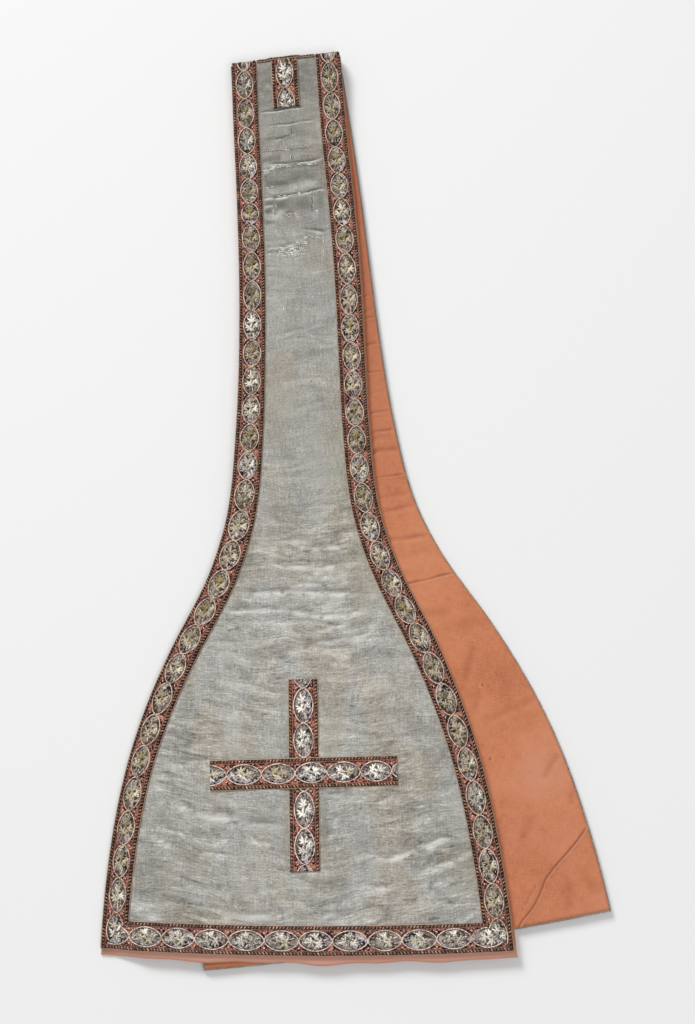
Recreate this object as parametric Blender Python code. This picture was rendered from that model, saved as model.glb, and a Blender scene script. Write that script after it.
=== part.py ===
"""Clerical maniple: a short stole-shaped vestment, folded in two at its neck and laid flat.

The silk, its lining and two side galloons each run in one length from hem to hem, round the
fold. Both halves have the same cut: a narrow strip that flares into a broad end, with a galloon
mitred round the hem and a galloon cross on the end. A third cross sits on the fold.

Metres, +Z up. The neck fold is towards +Y and the hems towards -Y. The origin is the middle of
the footprint, on the surface that the maniple lies on.
"""
import math

import bmesh
import bpy

# ---------------------------------------------------------------- driving dimensions
HALF_LENGTH = 0.494        # neck fold to hem, along the lining
LINING_WALL = 0.0010
SILK_WALL = 0.0014         # silk with its interlining
GALLOON_WALL = 0.0010
GALLOON_WIDTH = 0.0148     # along the edges
CROSS_GALLOON = 0.0158     # on the crosses, where it lies at its full width
SEAM_GAP = 0.0003          # between one layer and the next
CREASE_DEPTH = 0.0004

FOLD_RADIUS = 0.0012       # inside radius of the neck fold, at the lining
FOLD_SLOPE = 7.0           # degrees that the fold rises to the right
FOLD_STEPS = 3             # facets in a quarter turn of the fold
SETTLE_LENGTH = 0.030      # the upper half settles onto the lower one over this length
EDGE_DROP = 0.020          # and sags to the table over this width, past the lower half's edge
HEM_BOW = 0.0030           # the hems bow out at their middle by this much
HEM_BOW_REACH = 0.080      # over this last stretch

LINING_SAG = 0.0038        # the upper half's lining hangs below its hem by this much
LINING_SAG_CORNER = 0.0014
LINING_CREEP = 0.0013      # and shows past its right edge
LINING_INSET = 0.0008      # elsewhere the lining lies inside the edge

PANEL_CELLS = 8            # columns of facets between the side galloons
EDGE_SPAN = 0.012          # the edge's direction is read over this length each way
TACK_GAP = 0.0002          # half of the parting at a mitre, measured along an edge

# The cut of one half: distance from the neck fold, half of the width there.
CUT_COLUMNS = ("from_fold", "half_width")
CUT = (
    (0.000, 0.0318),
    (0.060, 0.0325),
    (0.100, 0.0334),
    (0.170, 0.0346),
    (0.210, 0.0356),
    (0.240, 0.0373),
    (0.256, 0.0388),
    (0.272, 0.0416),
    (0.288, 0.0464),
    (0.304, 0.0525),
    (0.320, 0.0605),
    (0.336, 0.0688),
    (0.352, 0.0758),
    (0.368, 0.0822),
    (0.384, 0.0876),
    (0.400, 0.0922),
    (0.416, 0.0958),
    (0.432, 0.0986),
    (0.448, 0.1009),
    (0.464, 0.1028),
    (0.480, 0.1041),
    (0.494, 0.1049),
)

# How each half lies: distance from the fold, lean of its centre line and slope of its rows of
# cloth, in degrees; a lean carries the line towards +X on its way to the hem.
LAY_COLUMNS = ("from_fold", "lean", "row_slope")
UPPER_LAY = (
    (0.000, 3.0, 7.0),
    (0.030, 3.6, 6.6),
    (0.060, 4.8, 6.0),
    (0.110, 3.6, 4.6),
    (0.150, 1.8, 3.0),
    (0.200, 1.1, 2.0),
    (0.250, 1.2, 1.4),
    (0.300, 1.6, 1.0),
    (0.330, -0.8, 0.6),
    (0.400, 0.2, 0.2),
    (0.450, 1.6, 0.0),
    (0.494, 1.6, -0.3),
)
UNDER_LAY = (
    (0.000, 7.4, 7.0),
    (0.040, 7.3, 7.2),
    (0.100, 5.6, 6.4),
    (0.160, 6.1, 6.6),
    (0.230, 8.1, 7.8),
    (0.300, 8.9, 8.9),
    (0.380, 8.9, 8.9),
    (0.460, 8.7, 8.4),
    (0.494, 8.3, 8.0),
)

# Creases pressed across the silk below the neck: distance from the fold, the two ends across the
# strip as parts of the half width, depth as a part of CREASE_DEPTH.
CREASE_COLUMNS = ("from_fold", "left_end", "right_end", "depth")
CREASES = (
    (0.0310, -0.50, 0.40, 0.9),
    (0.0630, -0.50, 0.50, 1.0),
    (0.0830, -0.50, 0.50, 0.8),
)
CREASE_HALF_WIDTH = 0.0022

# Rows of facets along a half, beyond the turn of the fold.
SHARED_ROWS = (0.006, 0.014, 0.022, 0.045, 0.074, 0.100, 0.125, 0.150, 0.178, 0.206, 0.228, 0.246,
               0.262, 0.277, 0.291, 0.305, 0.320, 0.336, 0.353, 0.371, 0.391, 0.412, 0.435, 0.458,
               HALF_LENGTH - GALLOON_WIDTH, HALF_LENGTH - GALLOON_WIDTH / 2, HALF_LENGTH)
UNDER_ONLY_ROWS = (0.031, 0.060, 0.086)

# The crosses: middle of the crossing measured from the hem, lengths of the two arms, slopes.
CROSS_FROM_HEM = 0.0882
CROSS_UPRIGHT = 0.0980
CROSS_UPRIGHT_ABOVE = 0.0485   # part of the upright above the crossing
CROSS_BAR = 0.0970
CROSS_LEAN = 1.0
CROSS_SLOPE = 1.6
HUMP_RUN = 0.0035          # length of the bar's slope where it climbs over the upright
NECK_ARM = 0.0300          # reach of the neck cross down each half
NECK_ARM_SHIFT = -0.0012
NECK_BAR_REACH = 0.0026    # reach of its bar round the fold, measured along the lining

# ---------------------------------------------------------------- derived levels
QUARTER_TURN = math.pi / 2 * FOLD_RADIUS
SILK_IN = LINING_WALL + SEAM_GAP
SILK_OUT = SILK_IN + SILK_WALL
GALLOON_IN = SILK_OUT + SEAM_GAP
GALLOON_OUT = GALLOON_IN + GALLOON_WALL
HALF_STACK = GALLOON_OUT                       # thickness of one half
FOLD_AXIS_Z = HALF_STACK + FOLD_RADIUS
UPPER_REST_Z = HALF_STACK + SEAM_GAP           # lining of the upper half, settled
FOLD_AXIS = (0.0, 0.0)
LINE_STEP = 0.001

# Sub-part colours: name, red, green, blue, roughness, metallic.
FINISHES = {
    "silk": (0.42, 0.41, 0.36, 0.48, 0.0),
    "lining": (0.62, 0.22, 0.11, 0.80, 0.0),
    "galloon": (0.17, 0.065, 0.05, 0.60, 0.1),
}


def look_up(table, columns, from_fold, name):
    """Reads a named column of a table at a distance from the fold, straight between its rows."""
    column = columns.index(name)
    if from_fold <= table[0][0]:
        return table[0][column]
    for low, high in zip(table, table[1:]):
        if from_fold <= high[0]:
            part = (from_fold - low[0]) / (high[0] - low[0])
            return low[column] + part * (high[column] - low[column])
    return table[-1][column]


def ease(part):
    """A smooth step from 0 to 1."""
    part = min(1.0, max(0.0, part))
    return part * part * (3.0 - 2.0 * part)


def half_width(from_fold):
    """Half of the width of the cut."""
    return look_up(CUT, CUT_COLUMNS, from_fold, "half_width")


def galloon_span(from_fold):
    """Width of a side galloon measured along a row, which crosses it on the slant in the flare."""
    low = max(0.0, from_fold - EDGE_SPAN)
    high = min(HALF_LENGTH, from_fold + EDGE_SPAN)
    slant = (half_width(high) - half_width(low)) / (high - low)
    return GALLOON_WIDTH * math.sqrt(1.0 + slant * slant)


def centre_line(lay):
    """Walks down a half's centre line and returns its points, one every LINE_STEP."""
    x, y = FOLD_AXIS
    points = [(x, y)]
    for step in range(int(round(HALF_LENGTH / LINE_STEP)) + 20):
        from_fold = (step + 0.5) * LINE_STEP
        lean = math.radians(look_up(lay, LAY_COLUMNS, from_fold, "lean"))
        x += LINE_STEP * math.sin(lean)
        y -= LINE_STEP * math.cos(lean)
        points.append((x, y))
    return points


UPPER_LINE = centre_line(UPPER_LAY)
UNDER_LINE = centre_line(UNDER_LAY)


def point_on_line(line, distance):
    """The centre line's point at a distance from the fold's axis."""
    place = max(0.0, distance) / LINE_STEP
    index = min(int(place), len(line) - 2)
    part = place - index
    (x0, y0), (x1, y1) = line[index], line[index + 1]
    return x0 + part * (x1 - x0), y0 + part * (y1 - y0)


def plan_point(upper, from_fold, across):
    """Where a point of the cloth lies in plan, beyond the turn of the fold."""
    lay, line = (UPPER_LAY, UPPER_LINE) if upper else (UNDER_LAY, UNDER_LINE)
    x, y = point_on_line(line, from_fold - QUARTER_TURN)
    lean = math.radians(look_up(lay, LAY_COLUMNS, from_fold, "lean"))
    slope = math.radians(look_up(lay, LAY_COLUMNS, from_fold, "row_slope"))
    bow = HEM_BOW * ease((from_fold - HALF_LENGTH + HEM_BOW_REACH) / HEM_BOW_REACH)
    bow *= 1.0 - (across / half_width(from_fold)) ** 2
    x += across * math.cos(slope) + bow * math.sin(lean)
    y += across * math.sin(slope) - bow * math.cos(lean)
    return x, y


UNDER_LEFT_EDGE = [plan_point(False, step * 0.002, -half_width(step * 0.002))
                   for step in range(4, int(HALF_LENGTH / 0.002) + 1)]


def past_under_edge(x, y):
    """How far a plan point lies beyond the lower half's left edge."""
    for (x0, y0), (x1, y1) in zip(UNDER_LEFT_EDGE, UNDER_LEFT_EDGE[1:]):
        if y1 <= y <= y0:
            return x0 + (y0 - y) / (y0 - y1) * (x1 - x0) - x
    nearest = UNDER_LEFT_EDGE[0] if y > UNDER_LEFT_EDGE[0][1] else UNDER_LEFT_EDGE[-1]
    return nearest[0] - x


def facet_width(from_fold):
    """The widest column of facets in a row."""
    span = galloon_span(from_fold)
    return max(2.0 * (half_width(from_fold) - span) / PANEL_CELLS, span / 2)


def lining_point(along, across):
    """The lining's free face. along is negative on the upper half and positive on the lower."""
    upper = along < 0.0
    from_fold = abs(along)
    if from_fold < QUARTER_TURN:
        turn = from_fold / FOLD_RADIUS
        slope = math.radians(FOLD_SLOPE)
        back = -FOLD_RADIUS * math.cos(turn)
        rise = FOLD_RADIUS * math.sin(turn)
        x = FOLD_AXIS[0] + across * math.cos(slope) + back * math.sin(slope)
        y = FOLD_AXIS[1] + across * math.sin(slope) - back * math.cos(slope)
        return x, y, FOLD_AXIS_Z + (rise if upper else -rise)
    x, y = plan_point(upper, from_fold, across)
    if not upper:
        return x, y, HALF_STACK
    top = FOLD_AXIS_Z + FOLD_RADIUS
    z = top - (top - UPPER_REST_Z) * ease((from_fold - QUARTER_TURN) / SETTLE_LENGTH)
    start = 0.003 + facet_width(from_fold)
    fall = ease((past_under_edge(x, y) - start) / EDGE_DROP)
    return x, y, z - UPPER_REST_Z * fall


def cloth_point(along, across, out):
    """A point at a height out above the lining's free face, square to it."""
    step = 0.0002
    left = lining_point(along, across - step)
    right = lining_point(along, across + step)
    before = lining_point(along - step, across)
    after = lining_point(along + step, across)
    ax, ay, az = (right[i] - left[i] for i in range(3))
    bx, by, bz = (after[i] - before[i] for i in range(3))
    nx, ny, nz = ay * bz - az * by, az * bx - ax * bz, ax * by - ay * bx
    size = math.sqrt(nx * nx + ny * ny + nz * nz)
    x, y, z = lining_point(along, across)
    return x + out * nx / size, y + out * ny / size, z + out * nz / size


def crease(along, across):
    """Depth of the creases in the silk at a point of the upper half."""
    if along >= 0.0:
        return 0.0
    part = across / half_width(-along)
    total = 0.0
    for place, left, right, depth in CREASES:
        near = 1.0 - abs(along + place) / CREASE_HALF_WIDTH
        if near > 0.0 and left <= part <= right:
            total = max(total, depth * near)
    return CREASE_DEPTH * total


# ---------------------------------------------------------------- rows and columns of facets
def row_places():
    """Places of all rows, from the upper hem round the fold to the lower hem."""
    turn = [QUARTER_TURN * step / FOLD_STEPS for step in range(1, FOLD_STEPS + 1)]
    upper = turn + list(SHARED_ROWS)
    for place, _, _, _ in CREASES:
        upper += [place - CREASE_HALF_WIDTH, place, place + CREASE_HALF_WIDTH]
    under = turn + list(SHARED_ROWS) + list(UNDER_ONLY_ROWS)
    return [-place for place in sorted(upper, reverse=True)] + [0.0] + sorted(under)


def column_places(along):
    """Columns across a row: galloon, panel, galloon."""
    wide = half_width(abs(along))
    span = galloon_span(abs(along))
    inner = wide - span
    panel = [inner * (2.0 * step / PANEL_CELLS - 1.0) for step in range(PANEL_CELLS + 1)]
    return [-wide, -wide + span / 2] + panel + [wide - span / 2, wide]


ROWS = row_places()
COLUMNS = PANEL_CELLS + 5


def cloth_sheet(name, finish, rows, columns, place, out_low, out_high, keep=None):
    """Makes one closed wall of cloth on a grid of rows and columns.

    place(row, column) gives (along, across); out_low and out_high give the heights of its two
    faces; keep(row, column, half) says which triangles of the grid belong to the piece.
    """
    mesh = bpy.data.meshes.new(name)
    bm = bmesh.new()
    row_layer = bm.verts.layers.int.new("row")
    column_layer = bm.verts.layers.int.new("column")
    grid = {}
    for row in range(rows):
        for column in range(columns):
            along, across = place(row, column)
            vert = bm.verts.new(cloth_point(along, across, out_low(along, across)))
            vert[row_layer] = row
            vert[column_layer] = column
            grid[row, column] = vert
    for row in range(rows - 1):
        for column in range(columns - 1):
            a, b = grid[row, column], grid[row, column + 1]
            c, d = grid[row + 1, column + 1], grid[row + 1, column]
            middle_along = (place(row, column)[0] + place(row + 1, column)[0]) / 2
            middle_across = (place(row, column)[1] + place(row, column + 1)[1]) / 2
            if (middle_across > 0.0) == (middle_along > 0.0):
                halves = ((a, b, c), (a, c, d))
            else:
                halves = ((a, b, d), (b, c, d))
            for half, corners in enumerate(halves):
                if keep is None or keep(row, column, half):
                    bm.faces.new(corners)
    loose = [vert for vert in bm.verts if not vert.link_faces]
    bmesh.ops.delete(bm, geom=loose, context='VERTS')
    raised = bmesh.ops.extrude_face_region(bm, geom=bm.faces[:])
    for item in raised["geom"]:
        if isinstance(item, bmesh.types.BMVert):
            along, across = place(item[row_layer], item[column_layer])
            item.co = cloth_point(along, across, out_high(along, across))
    bmesh.ops.triangulate(bm, faces=bm.faces[:], quad_method='FIXED')
    bmesh.ops.recalc_face_normals(bm, faces=bm.faces[:])
    bm.to_mesh(mesh)
    bm.free()
    return finish_object(name, finish, mesh)


def finish_object(name, finish, mesh):
    """Links a mesh as a named object with its own material."""
    red, green, blue, roughness, metallic = FINISHES[finish]
    material = bpy.data.materials.new(name + "_" + finish)
    material.use_nodes = True
    shader = material.node_tree.nodes["Principled BSDF"]
    shader.inputs["Base Color"].default_value = (red, green, blue, 1.0)
    shader.inputs["Roughness"].default_value = roughness
    shader.inputs["Metallic"].default_value = metallic
    mesh.materials.append(material)
    item = bpy.data.objects.new(name, mesh)
    bpy.context.scene.collection.objects.link(item)
    return item


# ---------------------------------------------------------------- cloth panels
def make_silk():
    """The silk with its interlining, hem to hem."""
    def place(row, column):
        return ROWS[row], column_places(ROWS[row])[column]

    return cloth_sheet("silk", "silk", len(ROWS), COLUMNS, place,
                       lambda along, across: SILK_IN,
                       lambda along, across: SILK_OUT - crease(along, across))


def make_lining():
    """The lining, hem to hem: it sags below the upper hem and shows past its right edge."""
    last = COLUMNS - 1

    def place(row, column):
        along = ROWS[row]
        across = column_places(along)[column]
        near_fold = ease(abs(along) / 0.040)
        if column == 0:
            across += LINING_INSET
        if column == last:
            creep = LINING_CREEP if along < 0.0 else -LINING_INSET
            across += -LINING_INSET + near_fold * (creep + LINING_INSET)
        if row == 0:
            side = 1.0 - (across / half_width(HALF_LENGTH)) ** 2
            along -= LINING_SAG_CORNER + (LINING_SAG - LINING_SAG_CORNER) * max(0.0, side)
        if row == len(ROWS) - 1:
            along -= LINING_INSET
        return along, across

    return cloth_sheet("lining", "lining", len(ROWS), COLUMNS, place,
                       lambda along, across: 0.0,
                       lambda along, across: LINING_WALL)


# ---------------------------------------------------------------- galloons
def galloon_low(along, across):
    """Underside of a galloon, over the silk."""
    return GALLOON_IN


def galloon_high(along, across):
    """Top of a galloon."""
    return GALLOON_OUT


def corner_depth(row):
    """Rows inside a hem's corner: 0 at the hem, 1 half a galloon up, 2 at its inner edge."""
    return min(row, len(ROWS) - 1 - row)


def make_side_galloon(name, right):
    """A side galloon, hem to hem round the fold, cut off on the slant at each mitre."""
    first = COLUMNS - 3 if right else 0

    def edge_steps(column):
        return 2 - column if right else column

    def place(row, column):
        along = ROWS[row]
        across = column_places(along)[first + column]
        steps = edge_steps(column)
        if corner_depth(row) == steps:
            along -= math.copysign(TACK_GAP, along)
        if corner_depth(row) > 2 and steps == 2:
            across += -SEAM_GAP / 8 if right else SEAM_GAP / 8
        return along, across

    def keep(row, column, half):
        depth = min(row, len(ROWS) - 2 - row)
        if depth >= 2:
            return True
        step = 1 - column if right else column
        if depth != step:
            return depth > step
        near_hem_first = row < len(ROWS) // 2
        return half == 1 if near_hem_first else half == 0

    return cloth_sheet(name, "galloon", len(ROWS), 3, place, galloon_low, galloon_high, keep)


def make_hem_galloon(name, upper):
    """A hem's galloon, cut off on the slant at both mitres."""
    first = 0 if upper else len(ROWS) - 3
    last = COLUMNS - 1

    def place(row, column):
        along = ROWS[first + row]
        across = column_places(along)[column]
        depth = row if upper else 2 - row
        if column == depth:
            across += TACK_GAP
        if column == last - depth:
            across -= TACK_GAP
        return along, across

    def keep(row, column, half):
        depth = row if upper else 1 - row
        step = min(column, last - 1 - column)
        if depth != step:
            return step > depth
        return half == 0 if upper else half == 1

    return cloth_sheet(name, "galloon", 3, COLUMNS, place, galloon_low, galloon_high, keep)


def make_neck_cross():
    """The cross on the fold: one arm down each half and a bar along the fold."""
    arm = CROSS_GALLOON / 2
    reach = half_width(0.0) - GALLOON_WIDTH - SEAM_GAP
    columns = [-reach, NECK_ARM_SHIFT - arm, NECK_ARM_SHIFT, NECK_ARM_SHIFT + arm, reach]
    turn = [QUARTER_TURN * step / FOLD_STEPS for step in range(1, FOLD_STEPS + 1)]
    down = turn + [NECK_BAR_REACH, 0.006, 0.014, 0.022, NECK_ARM - 0.0015]
    rows = [-place for place in reversed(down)] + [0.0] + down
    bar_rows = len(down) - 4
    middle = len(down)

    def place(row, column):
        return rows[row], columns[column]

    def keep(row, column, half):
        on_bar = middle - bar_rows <= row < middle + bar_rows
        return on_bar or column in (1, 2)

    return cloth_sheet("neck_cross", "galloon", len(rows), len(columns), place,
                       galloon_low, galloon_high, keep)


# ---------------------------------------------------------------- crosses on the ends
def cross_frame(upper):
    """The crossing's plan point and the directions of the bar and of the upright."""
    from_fold = HALF_LENGTH - CROSS_FROM_HEM
    x, y = plan_point(upper, from_fold, 0.0)
    turn = look_up(UNDER_LAY, LAY_COLUMNS, from_fold, "row_slope")
    slope = math.radians(CROSS_SLOPE if upper else turn)
    lean = math.radians(CROSS_LEAN if upper else turn)
    return (x, y), (math.cos(slope), math.sin(slope)), (-math.sin(lean), math.cos(lean))


def flat_strip(name, upper, stations, along_bar, low_at, high_at):
    """A strip of galloon along one arm of a cross, its faces at heights worked out along it."""
    (x, y), bar, upright = cross_frame(upper)
    run, side = (bar, upright) if along_bar else (upright, bar)
    half = CROSS_GALLOON / 2
    mesh = bpy.data.meshes.new(name)
    bm = bmesh.new()
    rails = []
    for sign in (-1.0, 1.0):
        rail = []
        for station in stations:
            px = x + run[0] * station + side[0] * half * sign
            py = y + run[1] * station + side[1] * half * sign
            rail.append(bm.verts.new((px, py, low_at(station))))
        rails.append(rail)
    for step in range(len(stations) - 1):
        bm.faces.new((rails[0][step], rails[0][step + 1], rails[1][step + 1], rails[1][step]))
    raised = bmesh.ops.extrude_face_region(bm, geom=bm.faces[:])
    for item in raised["geom"]:
        if isinstance(item, bmesh.types.BMVert):
            station = (item.co.x - x) * run[0] + (item.co.y - y) * run[1]
            item.co.z = high_at(station)
    bmesh.ops.recalc_face_normals(bm, faces=bm.faces[:])
    bm.to_mesh(mesh)
    bm.free()
    return finish_object(name, "galloon", mesh)


def make_upper_cross():
    """The upright, and the bar that climbs over it."""
    base = UPPER_REST_Z + GALLOON_IN
    low, high = base, base + GALLOON_WALL
    rise = GALLOON_WALL + SEAM_GAP
    top_of_hump = CROSS_GALLOON / 2 + 0.0006
    foot_of_hump = top_of_hump + HUMP_RUN

    def hump(station):
        return rise * ease((foot_of_hump - abs(station)) / HUMP_RUN)

    middle_slope = top_of_hump + HUMP_RUN / 2
    half_bar = CROSS_BAR / 2
    stations = [-half_bar, -foot_of_hump, -middle_slope, -top_of_hump]
    stations += [-place for place in reversed(stations)]
    upright = [-(CROSS_UPRIGHT - CROSS_UPRIGHT_ABOVE), 0.0, CROSS_UPRIGHT_ABOVE]
    flat_strip("cross_upright", True, upright, False, lambda s: low, lambda s: high)
    flat_strip("cross_bar", True, stations, True,
               lambda s: low + hump(s), lambda s: high + hump(s))


def make_under_cross():
    """The matching cross on the hidden end, pressed flat in one thickness."""
    (x, y), bar, upright = cross_frame(False)
    half = CROSS_GALLOON / 2
    marks_bar = [-CROSS_BAR / 2, -half, half, CROSS_BAR / 2]
    marks_up = [-(CROSS_UPRIGHT - CROSS_UPRIGHT_ABOVE), -half, half, CROSS_UPRIGHT_ABOVE]
    mesh = bpy.data.meshes.new("cross_under")
    bm = bmesh.new()
    grid = {}
    for row, v in enumerate(marks_up):
        for column, u in enumerate(marks_bar):
            if row in (0, 3) and column in (0, 3):
                continue
            place = (x + bar[0] * u + upright[0] * v, y + bar[1] * u + upright[1] * v, 0.0)
            grid[row, column] = bm.verts.new(place)
    for row, column in ((1, 0), (1, 1), (1, 2), (0, 1), (2, 1)):
        bm.faces.new((grid[row, column], grid[row, column + 1],
                      grid[row + 1, column + 1], grid[row + 1, column]))
    raised = bmesh.ops.extrude_face_region(bm, geom=bm.faces[:])
    for item in raised["geom"]:
        if isinstance(item, bmesh.types.BMVert):
            item.co.z = GALLOON_WALL
    bmesh.ops.recalc_face_normals(bm, faces=bm.faces[:])
    bm.to_mesh(mesh)
    bm.free()
    return finish_object("cross_under", "galloon", mesh)


def centre_on_footprint():
    """Moves every mesh so that the middle of the footprint is the origin."""
    meshes = [item.data for item in bpy.data.objects if item.type == 'MESH']
    xs = [vert.co.x for mesh in meshes for vert in mesh.vertices]
    ys = [vert.co.y for mesh in meshes for vert in mesh.vertices]
    shift_x = -(min(xs) + max(xs)) / 2
    shift_y = -(min(ys) + max(ys)) / 2
    for mesh in meshes:
        for vert in mesh.vertices:
            vert.co.x += shift_x
            vert.co.y += shift_y


def main():
    """Builds the maniple."""
    for item in list(bpy.data.objects):
        bpy.data.objects.remove(item, do_unlink=True)
    make_lining()
    make_silk()
    make_side_galloon("galloon_left", False)
    make_side_galloon("galloon_right", True)
    make_hem_galloon("hem_upper", True)
    make_hem_galloon("hem_under", False)
    make_neck_cross()
    make_upper_cross()
    make_under_cross()
    centre_on_footprint()


main()
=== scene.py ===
"""Dresses the clerical maniple: watered silk, cotton lining and woven galloon, folded and laid flat.

Every piece is first made flat, as it is cut: x across the strip, y along it from the upper hem
through the neck fold to the lower hem, and z out from the lining's free face. One class then lays
the flat cloth in its folded place.
"""

import logging
import math
import random
from dataclasses import dataclass, field, replace
from enum import Enum
from typing import Any, Callable, Iterator, Mapping, Sequence

import bmesh
import bpy
import numpy as np
from bmesh.types import BMesh, BMVert
from bpy.types import Material, Mesh, NodeSocket, Object
from mathutils import Matrix, Vector


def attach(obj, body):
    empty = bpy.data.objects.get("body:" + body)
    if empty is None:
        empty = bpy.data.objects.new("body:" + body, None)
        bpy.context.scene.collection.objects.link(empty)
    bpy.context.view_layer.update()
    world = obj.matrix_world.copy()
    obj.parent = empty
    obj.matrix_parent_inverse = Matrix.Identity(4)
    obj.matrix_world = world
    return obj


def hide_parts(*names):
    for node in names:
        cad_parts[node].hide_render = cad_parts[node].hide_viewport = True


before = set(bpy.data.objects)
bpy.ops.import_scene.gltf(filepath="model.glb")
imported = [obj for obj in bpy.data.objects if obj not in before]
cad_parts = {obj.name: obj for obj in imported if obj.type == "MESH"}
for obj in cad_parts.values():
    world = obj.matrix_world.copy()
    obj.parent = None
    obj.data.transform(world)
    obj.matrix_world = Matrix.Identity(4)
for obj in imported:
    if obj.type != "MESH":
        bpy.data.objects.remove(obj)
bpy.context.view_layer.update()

LOG = logging.getLogger("maniple")
MM = 0.001
CLOTH_UV = "cloth"
WATER_UV = "water"
RIBBON_UV = "ribbon"
TINT = "tint"
# Name of the mesh attribute with painted shade, painted highlight and painted sheen, along with dirt and
# stains.
SHADING_AND_WEAR = "wear"
RIDGE_SHIFT = 1.9
RIDGE_SPREAD = 1.3
RIPPLE_REACH = 0.095

Array = np.ndarray
Rows = Sequence[Sequence[float]]
Triple = tuple[float, float, float]


# ---------------------------------------------------------------------------- the laid cloth
class Table:
    """A short table with named columns, read straight between its rows."""

    def __init__(self, names: Sequence[str], rows: Rows) -> None:
        """Keeps the columns' names, the first of which rises, and the rows."""
        self.names = tuple(names)
        self.rows = np.array(rows, float)

    def at(self, place: Array, name: str, blur: float = 0.0) -> Array:
        """Reads a column.

        Args:
            place: values of the first column.
            name: the column to read.
            blur: half of the length over which the reading is averaged.

        Returns:
            The column's values there.
        """
        first, column = self.rows[:, 0], self.rows[:, self.names.index(name)]
        if blur == 0.0:
            return np.interp(place, first, column)
        start = column[0] - (column[1] - column[0]) / (first[1] - first[0])
        end = column[-1] + (column[-1] - column[-2]) / (first[-1] - first[-2])
        first = np.concatenate([[first[0] - 1.0], first, [first[-1] + 1.0]])
        column = np.concatenate([[start], column, [end]])
        shifts = np.linspace(-blur, blur, 7)
        return sum(np.interp(place + shift, first, column) for shift in shifts) / len(shifts)


def spaced(*runs: tuple[float, float, float]) -> Array:
    """Even steps, run after run of (start, end, step)."""
    return np.concatenate([np.arange(*run) for run in runs])


def ease(part: Array) -> Array:
    """A smooth step from 0 to 1."""
    part = np.clip(part, 0.0, 1.0)
    return part * part * (3.0 - 2.0 * part)


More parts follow.
